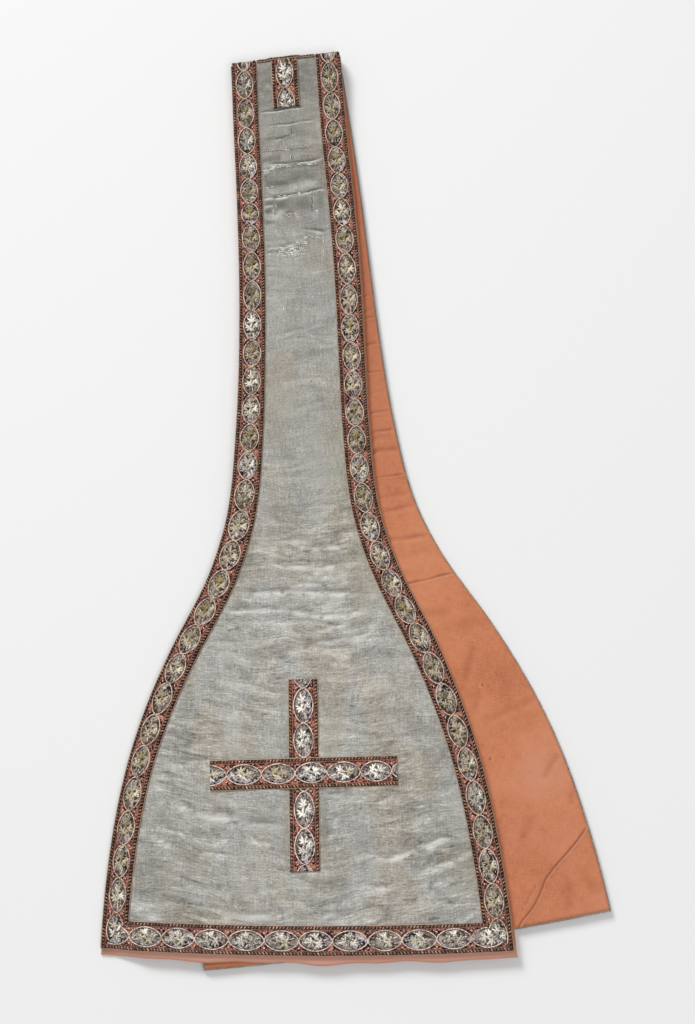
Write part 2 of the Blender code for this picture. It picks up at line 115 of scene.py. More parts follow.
@dataclass
class LaidCloth:
    """The folded lay of the cloth, with the sizes that the solids have."""

    cut: Table = field(default_factory=lambda: Table(
        ("from_fold", "half_width"),
        ((0.000, 0.0318), (0.060, 0.0325), (0.100, 0.0334), (0.170, 0.0346), (0.210, 0.0356),
         (0.240, 0.0373), (0.256, 0.0388), (0.272, 0.0416), (0.288, 0.0464), (0.304, 0.0525),
         (0.320, 0.0605), (0.336, 0.0688), (0.352, 0.0758), (0.368, 0.0822), (0.384, 0.0876),
         (0.400, 0.0922), (0.416, 0.0958), (0.432, 0.0986), (0.448, 0.1009), (0.464, 0.1028),
         (0.480, 0.1041), (0.494, 0.1049))))
    upper_lay: Table = field(default_factory=lambda: Table(
        ("from_fold", "lean", "row_slope"),
        ((0.000, 3.0, 7.0), (0.030, 3.6, 6.6), (0.060, 4.8, 6.0), (0.110, 3.6, 4.6),
         (0.150, 1.8, 3.0), (0.200, 1.1, 2.0), (0.250, 1.2, 1.4), (0.300, 1.6, 1.0),
         (0.330, -0.8, 0.6), (0.400, 0.2, 0.2), (0.450, 1.6, 0.0), (0.494, 1.6, -0.3))))
    under_lay: Table = field(default_factory=lambda: Table(
        ("from_fold", "lean", "row_slope"),
        ((0.000, 7.4, 7.0), (0.040, 7.3, 7.2), (0.100, 5.6, 6.4), (0.160, 6.1, 6.6),
         (0.230, 8.1, 7.8), (0.300, 8.9, 8.9), (0.380, 8.9, 8.9), (0.460, 8.7, 8.4),
         (0.494, 8.3, 8.0))))
    half_length: float = 0.494
    stack: float = 0.0040
    silk_in: float = 0.0013
    silk_out: float = 0.0027
    seam_gap: float = 0.0003
    galloon_width: float = 0.0148
    edge_span: float = 0.012
    fold_radius: float = 0.0012
    fold_slope: float = 7.0
    fold_corner: float = 0.0022
    settle_length: float = 0.030
    edge_start: float = 0.008
    edge_step: float = 0.002
    edge_overhang: float = 0.003
    edge_drop: float = 0.020
    corner_reach: float = 0.014
    hem_bow: float = 0.0030
    hem_bow_reach: float = 0.080
    panel_cells: int = 8
    fold_axis: tuple[float, float] = (-0.04003952, 0.24654292)
    line_step: float = 0.001
    line_spare: int = 20
    blur: float = 0.007
    probe: float = 0.0002

    def __post_init__(self) -> None:
        """Walks down both centre lines and finds the lower half's left edge."""
        self.quarter = math.pi / 2 * self.fold_radius
        self.upper_line = self.walk(self.upper_lay)
        self.under_line = self.walk(self.under_lay)
        places = np.arange(self.edge_start, self.half_length, self.edge_step)
        self.left_edge = self.plan(False, places, -self.half_width(places))

    def walk(self, lay: Table) -> Array:
        """Walks down a centre line.

        Args:
            lay: the half's table of leans.

        Returns:
            The line's x and y as two rows, one point every line_step.
        """
        steps = int(round(self.half_length / self.line_step)) + self.line_spare
        lean = np.radians(lay.at((np.arange(steps) + 0.5) * self.line_step, "lean"))
        x = self.fold_axis[0] + np.concatenate([[0.0], np.cumsum(np.sin(lean))]) * self.line_step
        y = self.fold_axis[1] - np.concatenate([[0.0], np.cumsum(np.cos(lean))]) * self.line_step
        return np.stack([x, y])

    def half_width(self, from_fold: Array) -> Array:
        """Half of the cut's width."""
        return self.cut.at(from_fold, "half_width", self.blur)

    def galloon_span(self, from_fold: Array) -> Array:
        """How much of a row a side galloon takes, as the row crosses it on the slant in the flare.

        Args:
            from_fold: distances from the neck fold.

        Returns:
            Its width along those rows.
        """
        low = np.maximum(0.0, from_fold - self.edge_span)
        high = np.minimum(self.half_length, from_fold + self.edge_span)
        slant = (self.half_width(high) - self.half_width(low)) / np.maximum(high - low, MM)
        return self.galloon_width * np.sqrt(1.0 + slant * slant)

    def plan(self, upper: bool, from_fold: Array, across: Array) -> Array:
        """Where points of one half lie in plan, beyond the turn of the fold.

        Args:
            upper: the upper half, or the lower one.
            from_fold: distances from the neck fold.
            across: distances from the centre line, to the right.

        Returns:
            Their x and y, as two rows.
        """
        lay, line = (self.upper_lay, self.upper_line) if upper else (self.under_lay, self.under_line)
        marks = np.arange(line.shape[1]) * self.line_step
        walked = np.maximum(0.0, from_fold - self.quarter)
        lean = np.radians(lay.at(from_fold, "lean"))
        slope = np.radians(lay.at(from_fold, "row_slope", self.blur))
        bow = self.hem_bow * ease((from_fold - self.half_length + self.hem_bow_reach)
                                  / self.hem_bow_reach)
        bow = bow * (1.0 - (across / self.half_width(from_fold)) ** 2)
        x = np.interp(walked, marks, line[0]) + across * np.cos(slope) + bow * np.sin(lean)
        y = np.interp(walked, marks, line[1]) + across * np.sin(slope) - bow * np.cos(lean)
        return np.stack([x, y])

    def past_left_edge(self, x: Array, y: Array) -> Array:
        """How far plan points lie beyond the lower half's left edge."""
        return np.interp(-y, -self.left_edge[1], self.left_edge[0]) - x

    def lining_face(self, across: Array, along: Array) -> Array:
        """Where the lining's free face lies, round the fold and on both halves.

        Args:
            across: distances from the centre line, to the right.
            along: signed distances from the neck fold, negative on the upper half.

        Returns:
            Its x, y and z, as three rows.
        """
        from_fold = np.abs(along)
        turn = np.minimum(from_fold, self.quarter) / self.fold_radius
        slope = math.radians(self.fold_slope)
        back = -self.fold_radius * np.cos(turn)
        rise = self.fold_radius * np.sin(turn)
        axis_z = self.stack + self.fold_radius
        fold = np.stack([self.fold_axis[0] + across * math.cos(slope) + back * math.sin(slope),
                         self.fold_axis[1] + across * math.sin(slope) - back * math.cos(slope),
                         axis_z - np.sign(along) * rise])
        upper = self.plan(True, from_fold, across)
        under = self.plan(False, from_fold, across)
        top, rest = axis_z + self.fold_radius, self.stack + self.seam_gap
        high = top - (top - rest) * ease((from_fold - self.quarter) / self.settle_length)
        span = self.galloon_span(from_fold)
        cell = np.maximum(2.0 * (self.half_width(from_fold) - span) / self.panel_cells, span / 2)
        fall = ease((self.past_left_edge(*upper) - self.edge_overhang - cell) / self.edge_drop)
        upper = np.stack([upper[0], upper[1], high - rest * fall])
        under = np.stack([under[0], under[1], np.full_like(high, self.stack)])
        flat = np.where(along < 0.0, upper, under)
        return np.where(from_fold < self.quarter, fold, flat)

    def lay(self, flat: Array) -> Array:
        """Lays flat points in their folded place.

        Args:
            flat: points (across, along, out), one a row.

        Returns:
            Their places, one a row.
        """
        (across, along, out), step = flat.T, self.probe
        right = self.lining_face(across + step, along) - self.lining_face(across - step, along)
        down = self.lining_face(across, along + step) - self.lining_face(across, along - step)
        normal = np.cross(right.T, down.T)
        normal /= np.linalg.norm(normal, axis=1)[:, None]
        place = self.lining_face(across, along).T + normal * out[:, None]
        place[:, 1] -= self.corner_drop(across, along)
        return place

    def corner_drop(self, across: Array, along: Array) -> Array:
        """Rounds off the fold's two ends.

        Args:
            across: distances from the centre line.
            along: signed distances from the neck fold.

        Returns:
            How far points there drop back.
        """
        inside = self.half_width(np.abs(along)) - np.abs(across)
        drop = 1.0 - np.sqrt(1.0 - np.clip(1.0 - inside / self.fold_corner, 0.0, 1.0) ** 2)
        return self.fold_corner * drop * ease(1.0 - np.abs(along) / self.corner_reach)

    def flat_size(self) -> tuple[float, float]:
        """The cut's width at the hems and its length."""
        return 2.0 * float(self.half_width(np.array(self.half_length))), 2.0 * self.half_length

    def flat_area(self) -> float:
        """The cut's area."""
        places = np.linspace(0, self.half_length, 800)
        return 2.0 * float(np.trapz(2.0 * self.half_width(places), places))


# ---------------------------------------------------------------------------- mesh helpers
def link(name: str, data: Any) -> Object:
    """Puts an object into the scene.

    Args:
        name: its name.
        data: its mesh, light or camera.

    Returns:
        The object.
    """
    item = bpy.data.objects.new(name, data)
    bpy.context.scene.collection.objects.link(item)
    return item


def link_piece(name: str, mesh: Mesh, finish: Material) -> Object:
    """Links a finished mesh as a piece that rides on the maniple's one body.

    Args:
        name: the piece's name.
        mesh: its mesh, in place.
        finish: its finish.

    Returns:
        The piece.
    """
    mesh.materials.append(finish)
    mesh.shade_smooth()
    piece = link(name, mesh)
    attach(piece, "root")
    return piece


def to_mesh(bm: BMesh, name: str) -> Mesh:
    """Turns a bmesh into a mesh.

    Args:
        bm: the bmesh, which is freed.
        name: the mesh's name.

    Returns:
        The mesh.
    """
    mesh = bpy.data.meshes.new(name)
    bm.to_mesh(mesh)
    bm.free()
    return mesh


def thick_grid(columns: int, rows: int) -> BMesh:
    """Makes a closed wall of cells.

    Args:
        columns: cells across.
        rows: cells along.

    Returns:
        The wall, from -0.5 to 0.5 both ways and from 0 up to 1.
    """
    bm = bmesh.new()
    bmesh.ops.create_grid(bm, x_segments=columns, y_segments=rows, size=0.5)
    raised = bmesh.ops.extrude_face_region(bm, geom=bm.faces[:])
    for item in raised["geom"]:
        if isinstance(item, BMVert):
            item.co.z = 1.0
    bmesh.ops.recalc_face_normals(bm, faces=bm.faces[:])
    return bm


def points_of(mesh: Mesh) -> Array:
    """Reads a mesh's points.

    Args:
        mesh: the mesh.

    Returns:
        Its points, one a row.
    """
    flat = np.empty(len(mesh.vertices) * 3, np.float64)
    mesh.vertices.foreach_get("co", flat)
    return flat.reshape(-1, 3)


def set_points(mesh: Mesh, points: Array) -> None:
    """Writes a mesh's points."""
    mesh.vertices.foreach_set("co", points.ravel())
    mesh.update()


def chart(mesh: Mesh, name: str, points: Array) -> None:
    """Gives a mesh a UV map in metres.

    Args:
        mesh: the mesh.
        name: the map's name.
        points: each vertex's place on the map, in its first two columns.
    """
    layer = mesh.uv_layers.new(name=name)
    corners = np.empty(len(mesh.loops), np.int32)
    mesh.loops.foreach_get("vertex_index", corners)
    layer.data.foreach_set("uv", points[corners, :2].ravel())


def flat_wall(rows: Array, columns: Array, edges: Callable[[Array], Array],
              low: float, high: float) -> Mesh:
    """Makes a closed wall of flat cloth.

    Args:
        rows: places along, from the upper hem to the lower.
        columns: places across, from 0 at the left edge to 1 at the right.
        edges: gives the left and right edge at places along, as two rows.
        low: height of the inner face.
        high: height of the outer face.

    Returns:
        The flat mesh, its outer face pointing to +z.
    """
    mesh = to_mesh(thick_grid(len(columns) - 1, len(rows) - 1), "wall")
    unit = points_of(mesh)
    along = rows[np.rint((unit[:, 1] + 0.5) * (len(rows) - 1)).astype(int)]
    share = columns[np.rint((unit[:, 0] + 0.5) * (len(columns) - 1)).astype(int)]
    left, right = edges(along)
    across = left + (right - left) * share
    set_points(mesh, np.stack([across, along, np.where(unit[:, 2] > 0.5, high, low)], axis=1))
    return mesh


# ---------------------------------------------------------------------------- finishes
class Signal:
    """A shader value: arithmetic on it adds Math nodes."""

    def __init__(self, looks: "Looks", socket: NodeSocket) -> None:
        """Wraps a node's output."""
        self.looks = looks
        self.socket = socket

    def math(self, operation: str, *others: Any) -> "Signal":
        """Adds one Math node, whose other inputs are values or signals, and gives its result."""
        inputs = {index + 1: other for index, other in enumerate(others)}
        return self.looks.node("ShaderNodeMath", {"operation": operation}, {0: self, **inputs})[0]

    def __add__(self, other: Any) -> "Signal":
        """Sum."""
        return self.math("ADD", other)

    __radd__ = __add__

    def __sub__(self, other: Any) -> "Signal":
        """Difference."""
        return self.math("SUBTRACT", other)

    def __rsub__(self, other: Any) -> "Signal":
        """Difference, the other way round."""
        return self.math("MULTIPLY", -1.0).math("ADD", other)

    def __mul__(self, other: Any) -> "Signal":
        """Product."""
        return self.math("MULTIPLY", other)

    __rmul__ = __mul__

    def __abs__(self) -> "Signal":
        """Size without its sign."""
        return self.math("ABSOLUTE")

    def clamp(self) -> "Signal":
        """Holds it between 0 and 1."""
        return self.math("MAXIMUM", 0.0).math("MINIMUM", 1.0)


class Looks:
    """Builds one material's nodes."""

    def __init__(self, name: str, roughness: float, specular: float, sheen: float = 0.0,
                 sheen_roughness: float = 0.5) -> None:
        """Starts a material.

        Args:
            name: the material's name.
            roughness: its roughness, where nothing varies it.
            specular: level of its plain reflection.
            sheen: weight of the fibres' sheen.
            sheen_roughness: spread of that sheen.
        """
        self.material = bpy.data.materials.new(name)
        self.material.use_nodes = True
        self.tree = self.material.node_tree
        self.shader = self.tree.nodes["Principled BSDF"]
        constants = {"Roughness": roughness, "Specular IOR Level": specular, "Sheen Weight": sheen,
                     "Sheen Roughness": sheen_roughness}
        for socket, value in constants.items():
            self.shader.inputs[socket].default_value = value

    def node(self, kind: str, settings: Mapping[str, Any], inputs: Mapping[Any, Any]) -> list[Signal]:
        """Adds a node.

        Args:
            kind: the node's type.
            settings: its settings, or a ramp's stops as (place, colour) pairs.
            inputs: values or signals for its sockets, by name or number.

        Returns:
            Its outputs.
        """
        item = self.tree.nodes.new(kind)
        for name, value in settings.items():
            if name == "stops":
                ramp = item.color_ramp
                while len(ramp.elements) < len(value):
                    ramp.elements.new(1.0)
                for element, (place, colour) in zip(ramp.elements, value):
                    element.position = place
                    element.color = (*colour, 1.0)
            else:
                setattr(item, name, value)
        for name, value in inputs.items():
            self.feed(item.inputs[name], value)
        return [Signal(self, socket) for socket in item.outputs]

    def feed(self, socket: NodeSocket, value: Any) -> None:
        """Links a signal to a socket, or sets the socket's value.

        Args:
            socket: the socket.
            value: the signal or the value.
        """
        if isinstance(value, Signal):
            self.tree.links.new(value.socket, socket)
        else:
            socket.default_value = value

    def map(self, name: str) -> tuple[Signal, Signal, Signal]:
        """Reads a UV map.

        Args:
            name: the map's name.

        Returns:
            The whole, and its across and along, in metres.
        """
        whole = self.node("ShaderNodeUVMap", {"uv_map": name}, {})[0]
        parts = self.node("ShaderNodeSeparateXYZ", {}, {0: whole})
        return whole, parts[0], parts[1]

    def wear(self) -> tuple[Signal, Signal, Signal]:
        """Reads the painted shading, dirt and stains that lie on the mesh.

        Returns:
            Painted shade and dirt, painted ridge highlight, and stains and painted shade, with a painted
            paler sheen below 0.
        """
        whole = self.node("ShaderNodeAttribute", {"attribute_name": SHADING_AND_WEAR}, {})[0]
        parts = self.node("ShaderNodeSeparateColor", {}, {0: whole})
        return parts[0], parts[1], parts[2]

    def noise(self, place: Signal, stretch: Sequence[float], detail: float = 3.0,
              roughness: float = 0.55, distortion: float = 0.0) -> Signal:
        """Noise whose grain has its own size each way.

        Args:
            place: the map it lies on.
            stretch: grains a metre, across and along.
            detail: octaves.
            roughness: share of the finer octaves.
            distortion: how far it's pulled about.

        Returns:
            Its value, about 0.5.
        """
        moved = self.node("ShaderNodeMapping", {}, {"Vector": place, "Scale": (*stretch, 1.0)})[0]
        values = {"Vector": moved, "Scale": 1.0, "Detail": detail, "Roughness": roughness,
                  "Distortion": distortion}
        return self.node("ShaderNodeTexNoise", {"noise_dimensions": '2D'}, values)[0]

    def ramp(self, value: Signal, *stops: tuple[float, Sequence[float]]) -> Signal:
        """A colour ramp."""
        return self.node("ShaderNodeValToRGB", {"stops": stops}, {0: value})[0]

    def step(self, value: Signal, low: float, high: float) -> Signal:
        """A smooth step from 0 at low to 1 at high."""
        return self.node("ShaderNodeMapRange", {"interpolation_type": 'SMOOTHSTEP'},
                         {"Value": value, "From Min": low, "From Max": high})[0]

    def mix(self, part: Any, first: Any, second: Any, blend: str = 'MIX') -> Signal:
        """Mixes two colours.

        Args:
            part: share of the second.
            first: a colour or a signal.
            second: a colour or a signal.
            blend: how they mix.

        Returns:
            The mixed colour.
        """
        settings = {"data_type": 'RGBA', "blend_type": blend, "clamp_factor": True}
        colours = {socket: value if isinstance(value, Signal) else (*value, 1.0)
                   for socket, value in ((6, first), (7, second))}
        return self.node("ShaderNodeMix", settings, {0: part, **colours})[2]

    def bump(self, height: Signal, distance: float, strength: float) -> None:
        """Raises the surface by a height signal, in metres at 1, through the Normal socket."""
        inputs = {"Strength": strength, "Distance": distance, "Height": height}
        self.feed(self.shader.inputs["Normal"], self.node("ShaderNodeBump", {}, inputs)[0])

    def colour(self, value: Signal) -> None:
        """Feeds Base Color."""
        self.feed(self.shader.inputs["Base Color"], value)

    def rough(self, value: Signal) -> None:
        """Feeds Roughness."""
        self.feed(self.shader.inputs["Roughness"], value)


@dataclass(frozen=True)
class SilkFinish:
    """Silver-grey silk taffeta with a watered look, slubs, faint stains and a soft sheen, with painted
    sheen, painted highlights and painted shade in its colour.
    """

    base: Triple = (0.300, 0.294, 0.268)
    pale: Triple = (0.560, 0.550, 0.515)
    # Colour of the painted highlights and painted sheen.
    silver: Triple = (0.800, 0.790, 0.750)
    dark: Triple = (0.150, 0.144, 0.128)
    stain: Triple = (0.970, 0.895, 0.815)
    green: Triple = (0.250, 0.262, 0.225)
    # Colour of the painted shade in creases and ripple troughs.
    crease: Triple = (0.050, 0.048, 0.040)
    # Colour of the painted highlight on crease ridges.
    worn: Triple = (0.660, 0.655, 0.615)
    # Colour of the dark spots: painted shade in the neck's hollows.
    stain_and_shade: Triple = (0.078, 0.082, 0.056)
    tea: Triple = (0.235, 0.205, 0.150)
    honey: Triple = (0.975, 0.925, 0.850)

    def make(self) -> Material:
        """Makes the finish, which reads the cloth's own maps.

        Returns:
            Its material.
        """
        looks = Looks("watered_silk", 0.46, 0.4, sheen=0.15, sheen_roughness=0.35)
        place, across, along = looks.map(CLOTH_UV)
        hang, _, _ = looks.map(WATER_UV)
        shade_and_soil, ridge_highlight, stain_and_shade = looks.wear()
        from_fold = abs(along)
        ripple = looks.noise(hang, (42.0, 200.0), 4.0, 0.55, 0.7)
        streak = looks.noise(hang, (210.0, 1150.0), 3.0, 0.65, 0.25)
        fleck = looks.noise(hang, (260.0, 820.0), 2.0, 0.5, 0.5)
        slub = looks.noise(place, (1500.0, 110.0), 2.0, 0.55)
        weave = looks.noise(place, (800.0, 2100.0), 2.0, 0.70)
        cloud = looks.noise(place, (40.0, 22.0), 3.0, 0.60, 1.0)
        blot = looks.noise(place, (34.0, 15.0), 4.0, 0.55, 0.8)
        calm = looks.noise(place, (24.0, 30.0), 2.0, 0.5)
        flare = looks.step(from_fold, 0.235, 0.290)
        force = (0.50 + flare * 0.32) * (0.30 + looks.step(calm, 0.38, 0.60) * 0.85)
        # The watered pattern, partly painted sheen of ripples catching the light.
        water = (ripple - 0.5) * force * 0.90 + (streak - 0.5) * (0.28 + flare * 0.36)
        grain = (weave - 0.5) * 1.05 + (slub - 0.5) * 0.45
        light = (looks.step(from_fold, 0.200, 0.260) * 0.045
                 + looks.step(from_fold, 0.255, 0.325) * 0.075
                 - looks.step(from_fold, 0.335, 0.460) * 0.050
                 - looks.step(from_fold, 0.112, 0.090) * 0.175)
        tone = 0.440 + light + water * 1.45 + grain + (cloud - 0.5) * 0.60
        colour = looks.ramp(tone, (0.02, self.dark), (0.48, self.base), (0.95, self.pale))
        colour = looks.mix(looks.step(blot, 0.44, 0.66), colour, self.stain, 'MULTIPLY')
        colour = looks.mix(looks.step(cloud, 0.50, 0.70) * 0.40, colour, self.green)
        # Painted shade in the ripples' troughs and painted highlights on their crests.
        dim = looks.step(fleck, 0.44, 0.32) * looks.step(ripple, 0.52, 0.42) * (0.12 + flare * 0.40)
        colour = looks.mix(dim * force, colour, self.crease)
        silver = looks.step(fleck, 0.60, 0.74) * looks.step(ripple, 0.47, 0.60) * (0.12 + flare * 0.36)
        colour = looks.mix(silver * force, colour, self.silver)
        neck = 1.0 - looks.step(from_fold, 0.010, 0.046)
        rubbed = looks.noise(place, (150.0, 260.0), 3.0, 0.6)
        colour = looks.mix(neck * looks.step(rubbed, 0.72, 0.30) * 0.95, colour, self.dark)
        right = looks.step(across, 0.004, 0.020) * looks.step(from_fold, 0.160, 0.215)
        colour = looks.mix(right * looks.step(from_fold, 0.330, 0.290), colour, self.honey, 'MULTIPLY')
        # Painted sheen where the broad lighter places lie.
        colour = looks.mix((stain_and_shade * -1.0).clamp(), colour, self.silver)
        # Dark spots: painted shade in the neck's hollows, tea-coloured stains in the flare.
        patch = looks.mix(flare, self.stain_and_shade, self.tea)
        colour = looks.mix(stain_and_shade * looks.step(rubbed, 0.15, 0.48), colour, patch)
        # Painted shade in the creases and the broad darker places.
        colour = looks.mix(shade_and_soil * 0.92, colour, self.crease)
        # Painted highlight along the crease ridges.
        colour = looks.mix(ridge_highlight * looks.step(rubbed, 0.33, 0.55) * 0.90, colour, self.worn)
        looks.colour(colour)
        looks.rough(0.48 - (ripple - 0.5) * 0.40 + (cloud - 0.5) * 0.15)
        looks.bump(water * 0.8 + grain * 0.25, 0.00060, 0.9)
        return looks.material


@dataclass(frozen=True)
class LiningFinish:
    """Salmon-orange cotton with a fine plain weave, paler in places and with dark specks of dirt, painted
    shade in its creases and near the fold, painted highlight on crease ridges, and painted light where the
    upper hem sags.
    """

    base: Triple = (0.500, 0.172, 0.075)
    faded_and_highlight: Triple = (0.560, 0.235, 0.125)
    soiled_and_shade: Triple = (0.255, 0.072, 0.032)
    pinker: Triple = (0.540, 0.245, 0.170)
    # Colour where the lining sags below the upper hem: pinker, and paler as painted light.
    hem: Triple = (0.570, 0.290, 0.215)
    hair: Triple = (0.240, 0.110, 0.060)

    def make(self) -> Material:
        """Makes the finish, which reads the cloth's own map.

        Returns:
            Its material.
        """
        looks = Looks("salmon_cotton", 0.62, 0.35, sheen=0.12)
        place, _, along = looks.map(CLOTH_UV)
        shade_and_soil, ridge_highlight, _ = looks.wear()
        warp = looks.noise(place, (2300.0, 230.0), 2.0, 0.5)
        weft = looks.noise(place, (230.0, 2300.0), 2.0, 0.5)
        cloud = looks.noise(place, (24.0, 18.0), 3.0, 0.5, 0.5)
        haze = looks.noise(place, (11.0, 9.0), 2.0, 0.5)
        mottle = looks.noise(place, (190.0, 170.0), 4.0, 0.65)
        fleck = looks.noise(place, (360.0, 620.0), 3.0, 0.7)
        tone = (0.46 + (warp - 0.5) * 0.35 + (weft - 0.5) * 0.35 + (cloud - 0.5) * 0.45
                + (mottle - 0.5) * 0.30)
        colour = looks.ramp(tone, (-0.05, self.soiled_and_shade), (0.45, self.base), (0.85, self.faded_and_highlight))
        blush = looks.step(haze, 0.45, 0.65) * looks.step(along, 0.300, 0.420)
        colour = looks.mix(blush * 0.50, colour, self.pinker)
        colour = looks.mix(looks.step(fleck, 0.66, 0.76) * 0.30, colour, self.hair)
        # Painted shade in the creases, and dark specks of dirt.
        colour = looks.mix(shade_and_soil * 0.85, colour, self.soiled_and_shade)
        # Painted highlight along the crease ridges.
        colour = looks.mix(ridge_highlight * 0.35, colour, self.faded_and_highlight)
        # Painted shade on the lower half's lining, full from the fold to 0.13 m and gone by 0.3 m.
        shaded = looks.step(along, 0.300, 0.130) * looks.step(along, 0.0, 0.010)
        colour = looks.mix(shaded * 0.42, colour, self.soiled_and_shade)
        # Painted light, with a pinker tint, where the lining sags below the upper hem into its shade.
        colour = looks.mix(looks.step(along, -0.485, -0.492) * 0.9, colour, self.hem)
        looks.colour(colour)
        looks.rough(0.66 - (cloud - 0.5) * 0.3)
        looks.bump((warp - 0.5) * 0.4 + (weft - 0.5) * 0.4 + (mottle - 0.5) * 0.4, 0.00030, 0.7)
        return looks.material


@dataclass(frozen=True)
class GalloonGround:
    """The woven ground: red-brown round the chain, grey-violet inside its ovals."""

    pitch: float
    swell: float
    half: float
    fullness: float
    red: Triple
    selvedge: Triple
    violet: Triple
    brown: Triple = (0.120, 0.042, 0.033)
    umber: Triple = (0.150, 0.102, 0.062)
    ash: Triple = (0.370, 0.320, 0.290)
    black: Triple = (0.010, 0.006, 0.006)
    glint: Triple = (0.430, 0.180, 0.118)
    pale: Triple = (0.600, 0.550, 0.520)

    def make(self, name: str) -> Material:
        """Makes the finish, which reads the ribbon's own map.

        Args:
            name: the material's name.

        Returns:
            The material.
        """
        looks = Looks(name, 0.62, 0.10)
        place, across, along = looks.map(RIBBON_UV)
        wave = abs((along * (math.pi / self.pitch)).math("SINE")).math("POWER", self.fullness)
        lens = wave * self.swell - abs(across)
        inside = looks.step(lens, -0.00015, 0.00015)
        ribs = looks.noise(place, (900.0, 3400.0), 2.0, 0.6)
        speck = looks.noise(place, (640.0, 520.0), 2.0, 0.80)
        patch = looks.noise(place, (240.0, 170.0), 2.0, 0.5)
        outer = looks.ramp(speck + (patch - 0.5) * 0.5, (0.44, self.black), (0.495, self.brown),
                           (0.565, self.red), (0.65, self.glint))
        inner = looks.ramp(speck + (patch - 0.5) * 0.6, (0.41, self.black), (0.485, self.violet),
                           (0.59, self.ash), (0.69, self.pale))
        umber = looks.step(looks.noise(place, (60.0, 45.0), 2.0, 0.5), 0.42, 0.58)
        inner = looks.mix(umber * 0.50, inner, self.umber)
        rim = looks.step(lens, 0.0011, 0.0003) * looks.step(lens, 0.0, 0.0003)
        inner = looks.mix(rim * 0.55, inner, self.black)
        colour = looks.mix(inside, outer, inner)
        side = abs(across) - self.half
        stripe = looks.step(side, -0.0026, -0.0024) * looks.step(side, -0.0019, -0.0021)
        colour = looks.mix(stripe * 0.75, colour, self.red)
        lane = looks.step(side, -0.0021, -0.0019) * looks.step(side, -0.0003, -0.0005)
        colour = looks.mix(lane * 0.28, colour, self.black)
        colour = looks.mix(looks.step(side, -0.00042, -0.00026), colour, self.selvedge)
        looks.colour(colour)
        looks.bump((ribs - 0.5) * 0.7 + (speck - 0.5) * 0.6, 0.00025, 0.9)
        return looks.material


@dataclass(frozen=True)
class ThreadFinish:
    """Threads whose colour lies on the mesh, with the fine grain of wound silk and strip metal."""

    roughness: float = 0.45
    specular: float = 0.18

    def make(self) -> Material:
        """Makes the finish.

        Returns:
            Its material.
        """
        looks = Looks("wound_thread", self.roughness, self.specular)
        tint = looks.node("ShaderNodeAttribute", {"attribute_name": TINT}, {})[0]
        spot = looks.node("ShaderNodeTexCoord", {}, {})[3]
        grain = looks.noise(spot, (1700.0, 1700.0), 2.0, 0.6)
        worn = looks.noise(spot, (160.0, 160.0), 2.0, 0.6)
        shade = looks.ramp(grain + (worn - 0.5) * 0.5, (0.37, (0.22, 0.20, 0.19)),
                           (0.51, (1.0, 1.0, 1.0)), (0.66, (1.16, 1.15, 1.13)))
        looks.colour(looks.mix(1.0, tint, shade, 'MULTIPLY'))
        looks.bump(grain, 0.00012, 0.8)
        return looks.material


# ---------------------------------------------------------------------------- silk and lining
def crease_profile(near: Array, wide: float) -> tuple[Array, Array]:
    """A crease's trough and the ridge on its hem side, each from 0 to 1."""
    return (np.exp(-(near / wide) ** 2),
            np.exp(-((near - RIDGE_SHIFT * wide) / (RIDGE_SPREAD * wide)) ** 2))


def soft_spot(spot: Sequence[float], across: Array, from_fold: Array) -> Array:
    """Squared distances to a spot (from fold, across, both half sizes, in mm), in its half sizes."""
    place, middle, tall, wide = spot
    return ((from_fold / MM - place) / tall) ** 2 + ((across / MM - middle) / wide) ** 2


@dataclass
class CreaseField:
    """Creases, listed one by one, each a soft trough with a ridge on its hem side.

    A row says, in millimetres: from_fold, left, right, drop, bow, half_width, depth, ridge.
    """

    rows: Rows
    wander: float = 0.00022
    wander_waves: Sequence[tuple[float, float]] = ((460.0, 9e3), (171.0, 5e3))
    fade_wave: tuple[float, float] = (390.0, 7e3)
    fade_share: float = 0.24
    full_shade_depth: float = 0.0007
    full_highlight_ridge: float = 0.0005
    narrow: float = 0.0019

    def height(self, across: Array, from_fold: Array) -> tuple[Array, Array]:
        """Sums the creases.

        Args:
            across: distances from the centre line.
            from_fold: distances from the neck fold.

        Returns:
            Heights in metres, negative in troughs, and painted trough shade and ridge highlight as two
            columns.
        """
        total = np.zeros_like(across)
        wear = np.zeros((len(across), 2))
        for row in self.rows:
            place, left, right, drop, bow, wide, depth, ridge = (value * MM for value in row)
            part = (across - left) / (right - left)
            held = np.clip(part, 0.0, 1.0)
            near = from_fold - place - drop * held - 4.0 * bow * held * (1.0 - held)
            near += self.wander * sum(np.sin(across * wave + place * shift)
                                      for wave, shift in self.wander_waves)
            fade = ease(part / self.fade_share + 0.5) * ease((1.0 - part) / self.fade_share + 0.5)
            fade *= 0.78 + 0.22 * np.sin(across * self.fade_wave[0] + place * self.fade_wave[1])
            trough, crest = (fade * shape for shape in crease_profile(near, wide))
            total += ridge * crest - depth * trough
            narrow = min(1.0, self.narrow / wide)
            # Painted shade in each trough and painted highlight on each ridge.
            wear[:, 0] += trough * min(1.0, depth / self.full_shade_depth) * narrow
            wear[:, 1] += crest * min(1.0, ridge / self.full_highlight_ridge) * narrow
        return total, np.clip(wear, 0.0, 1.0)


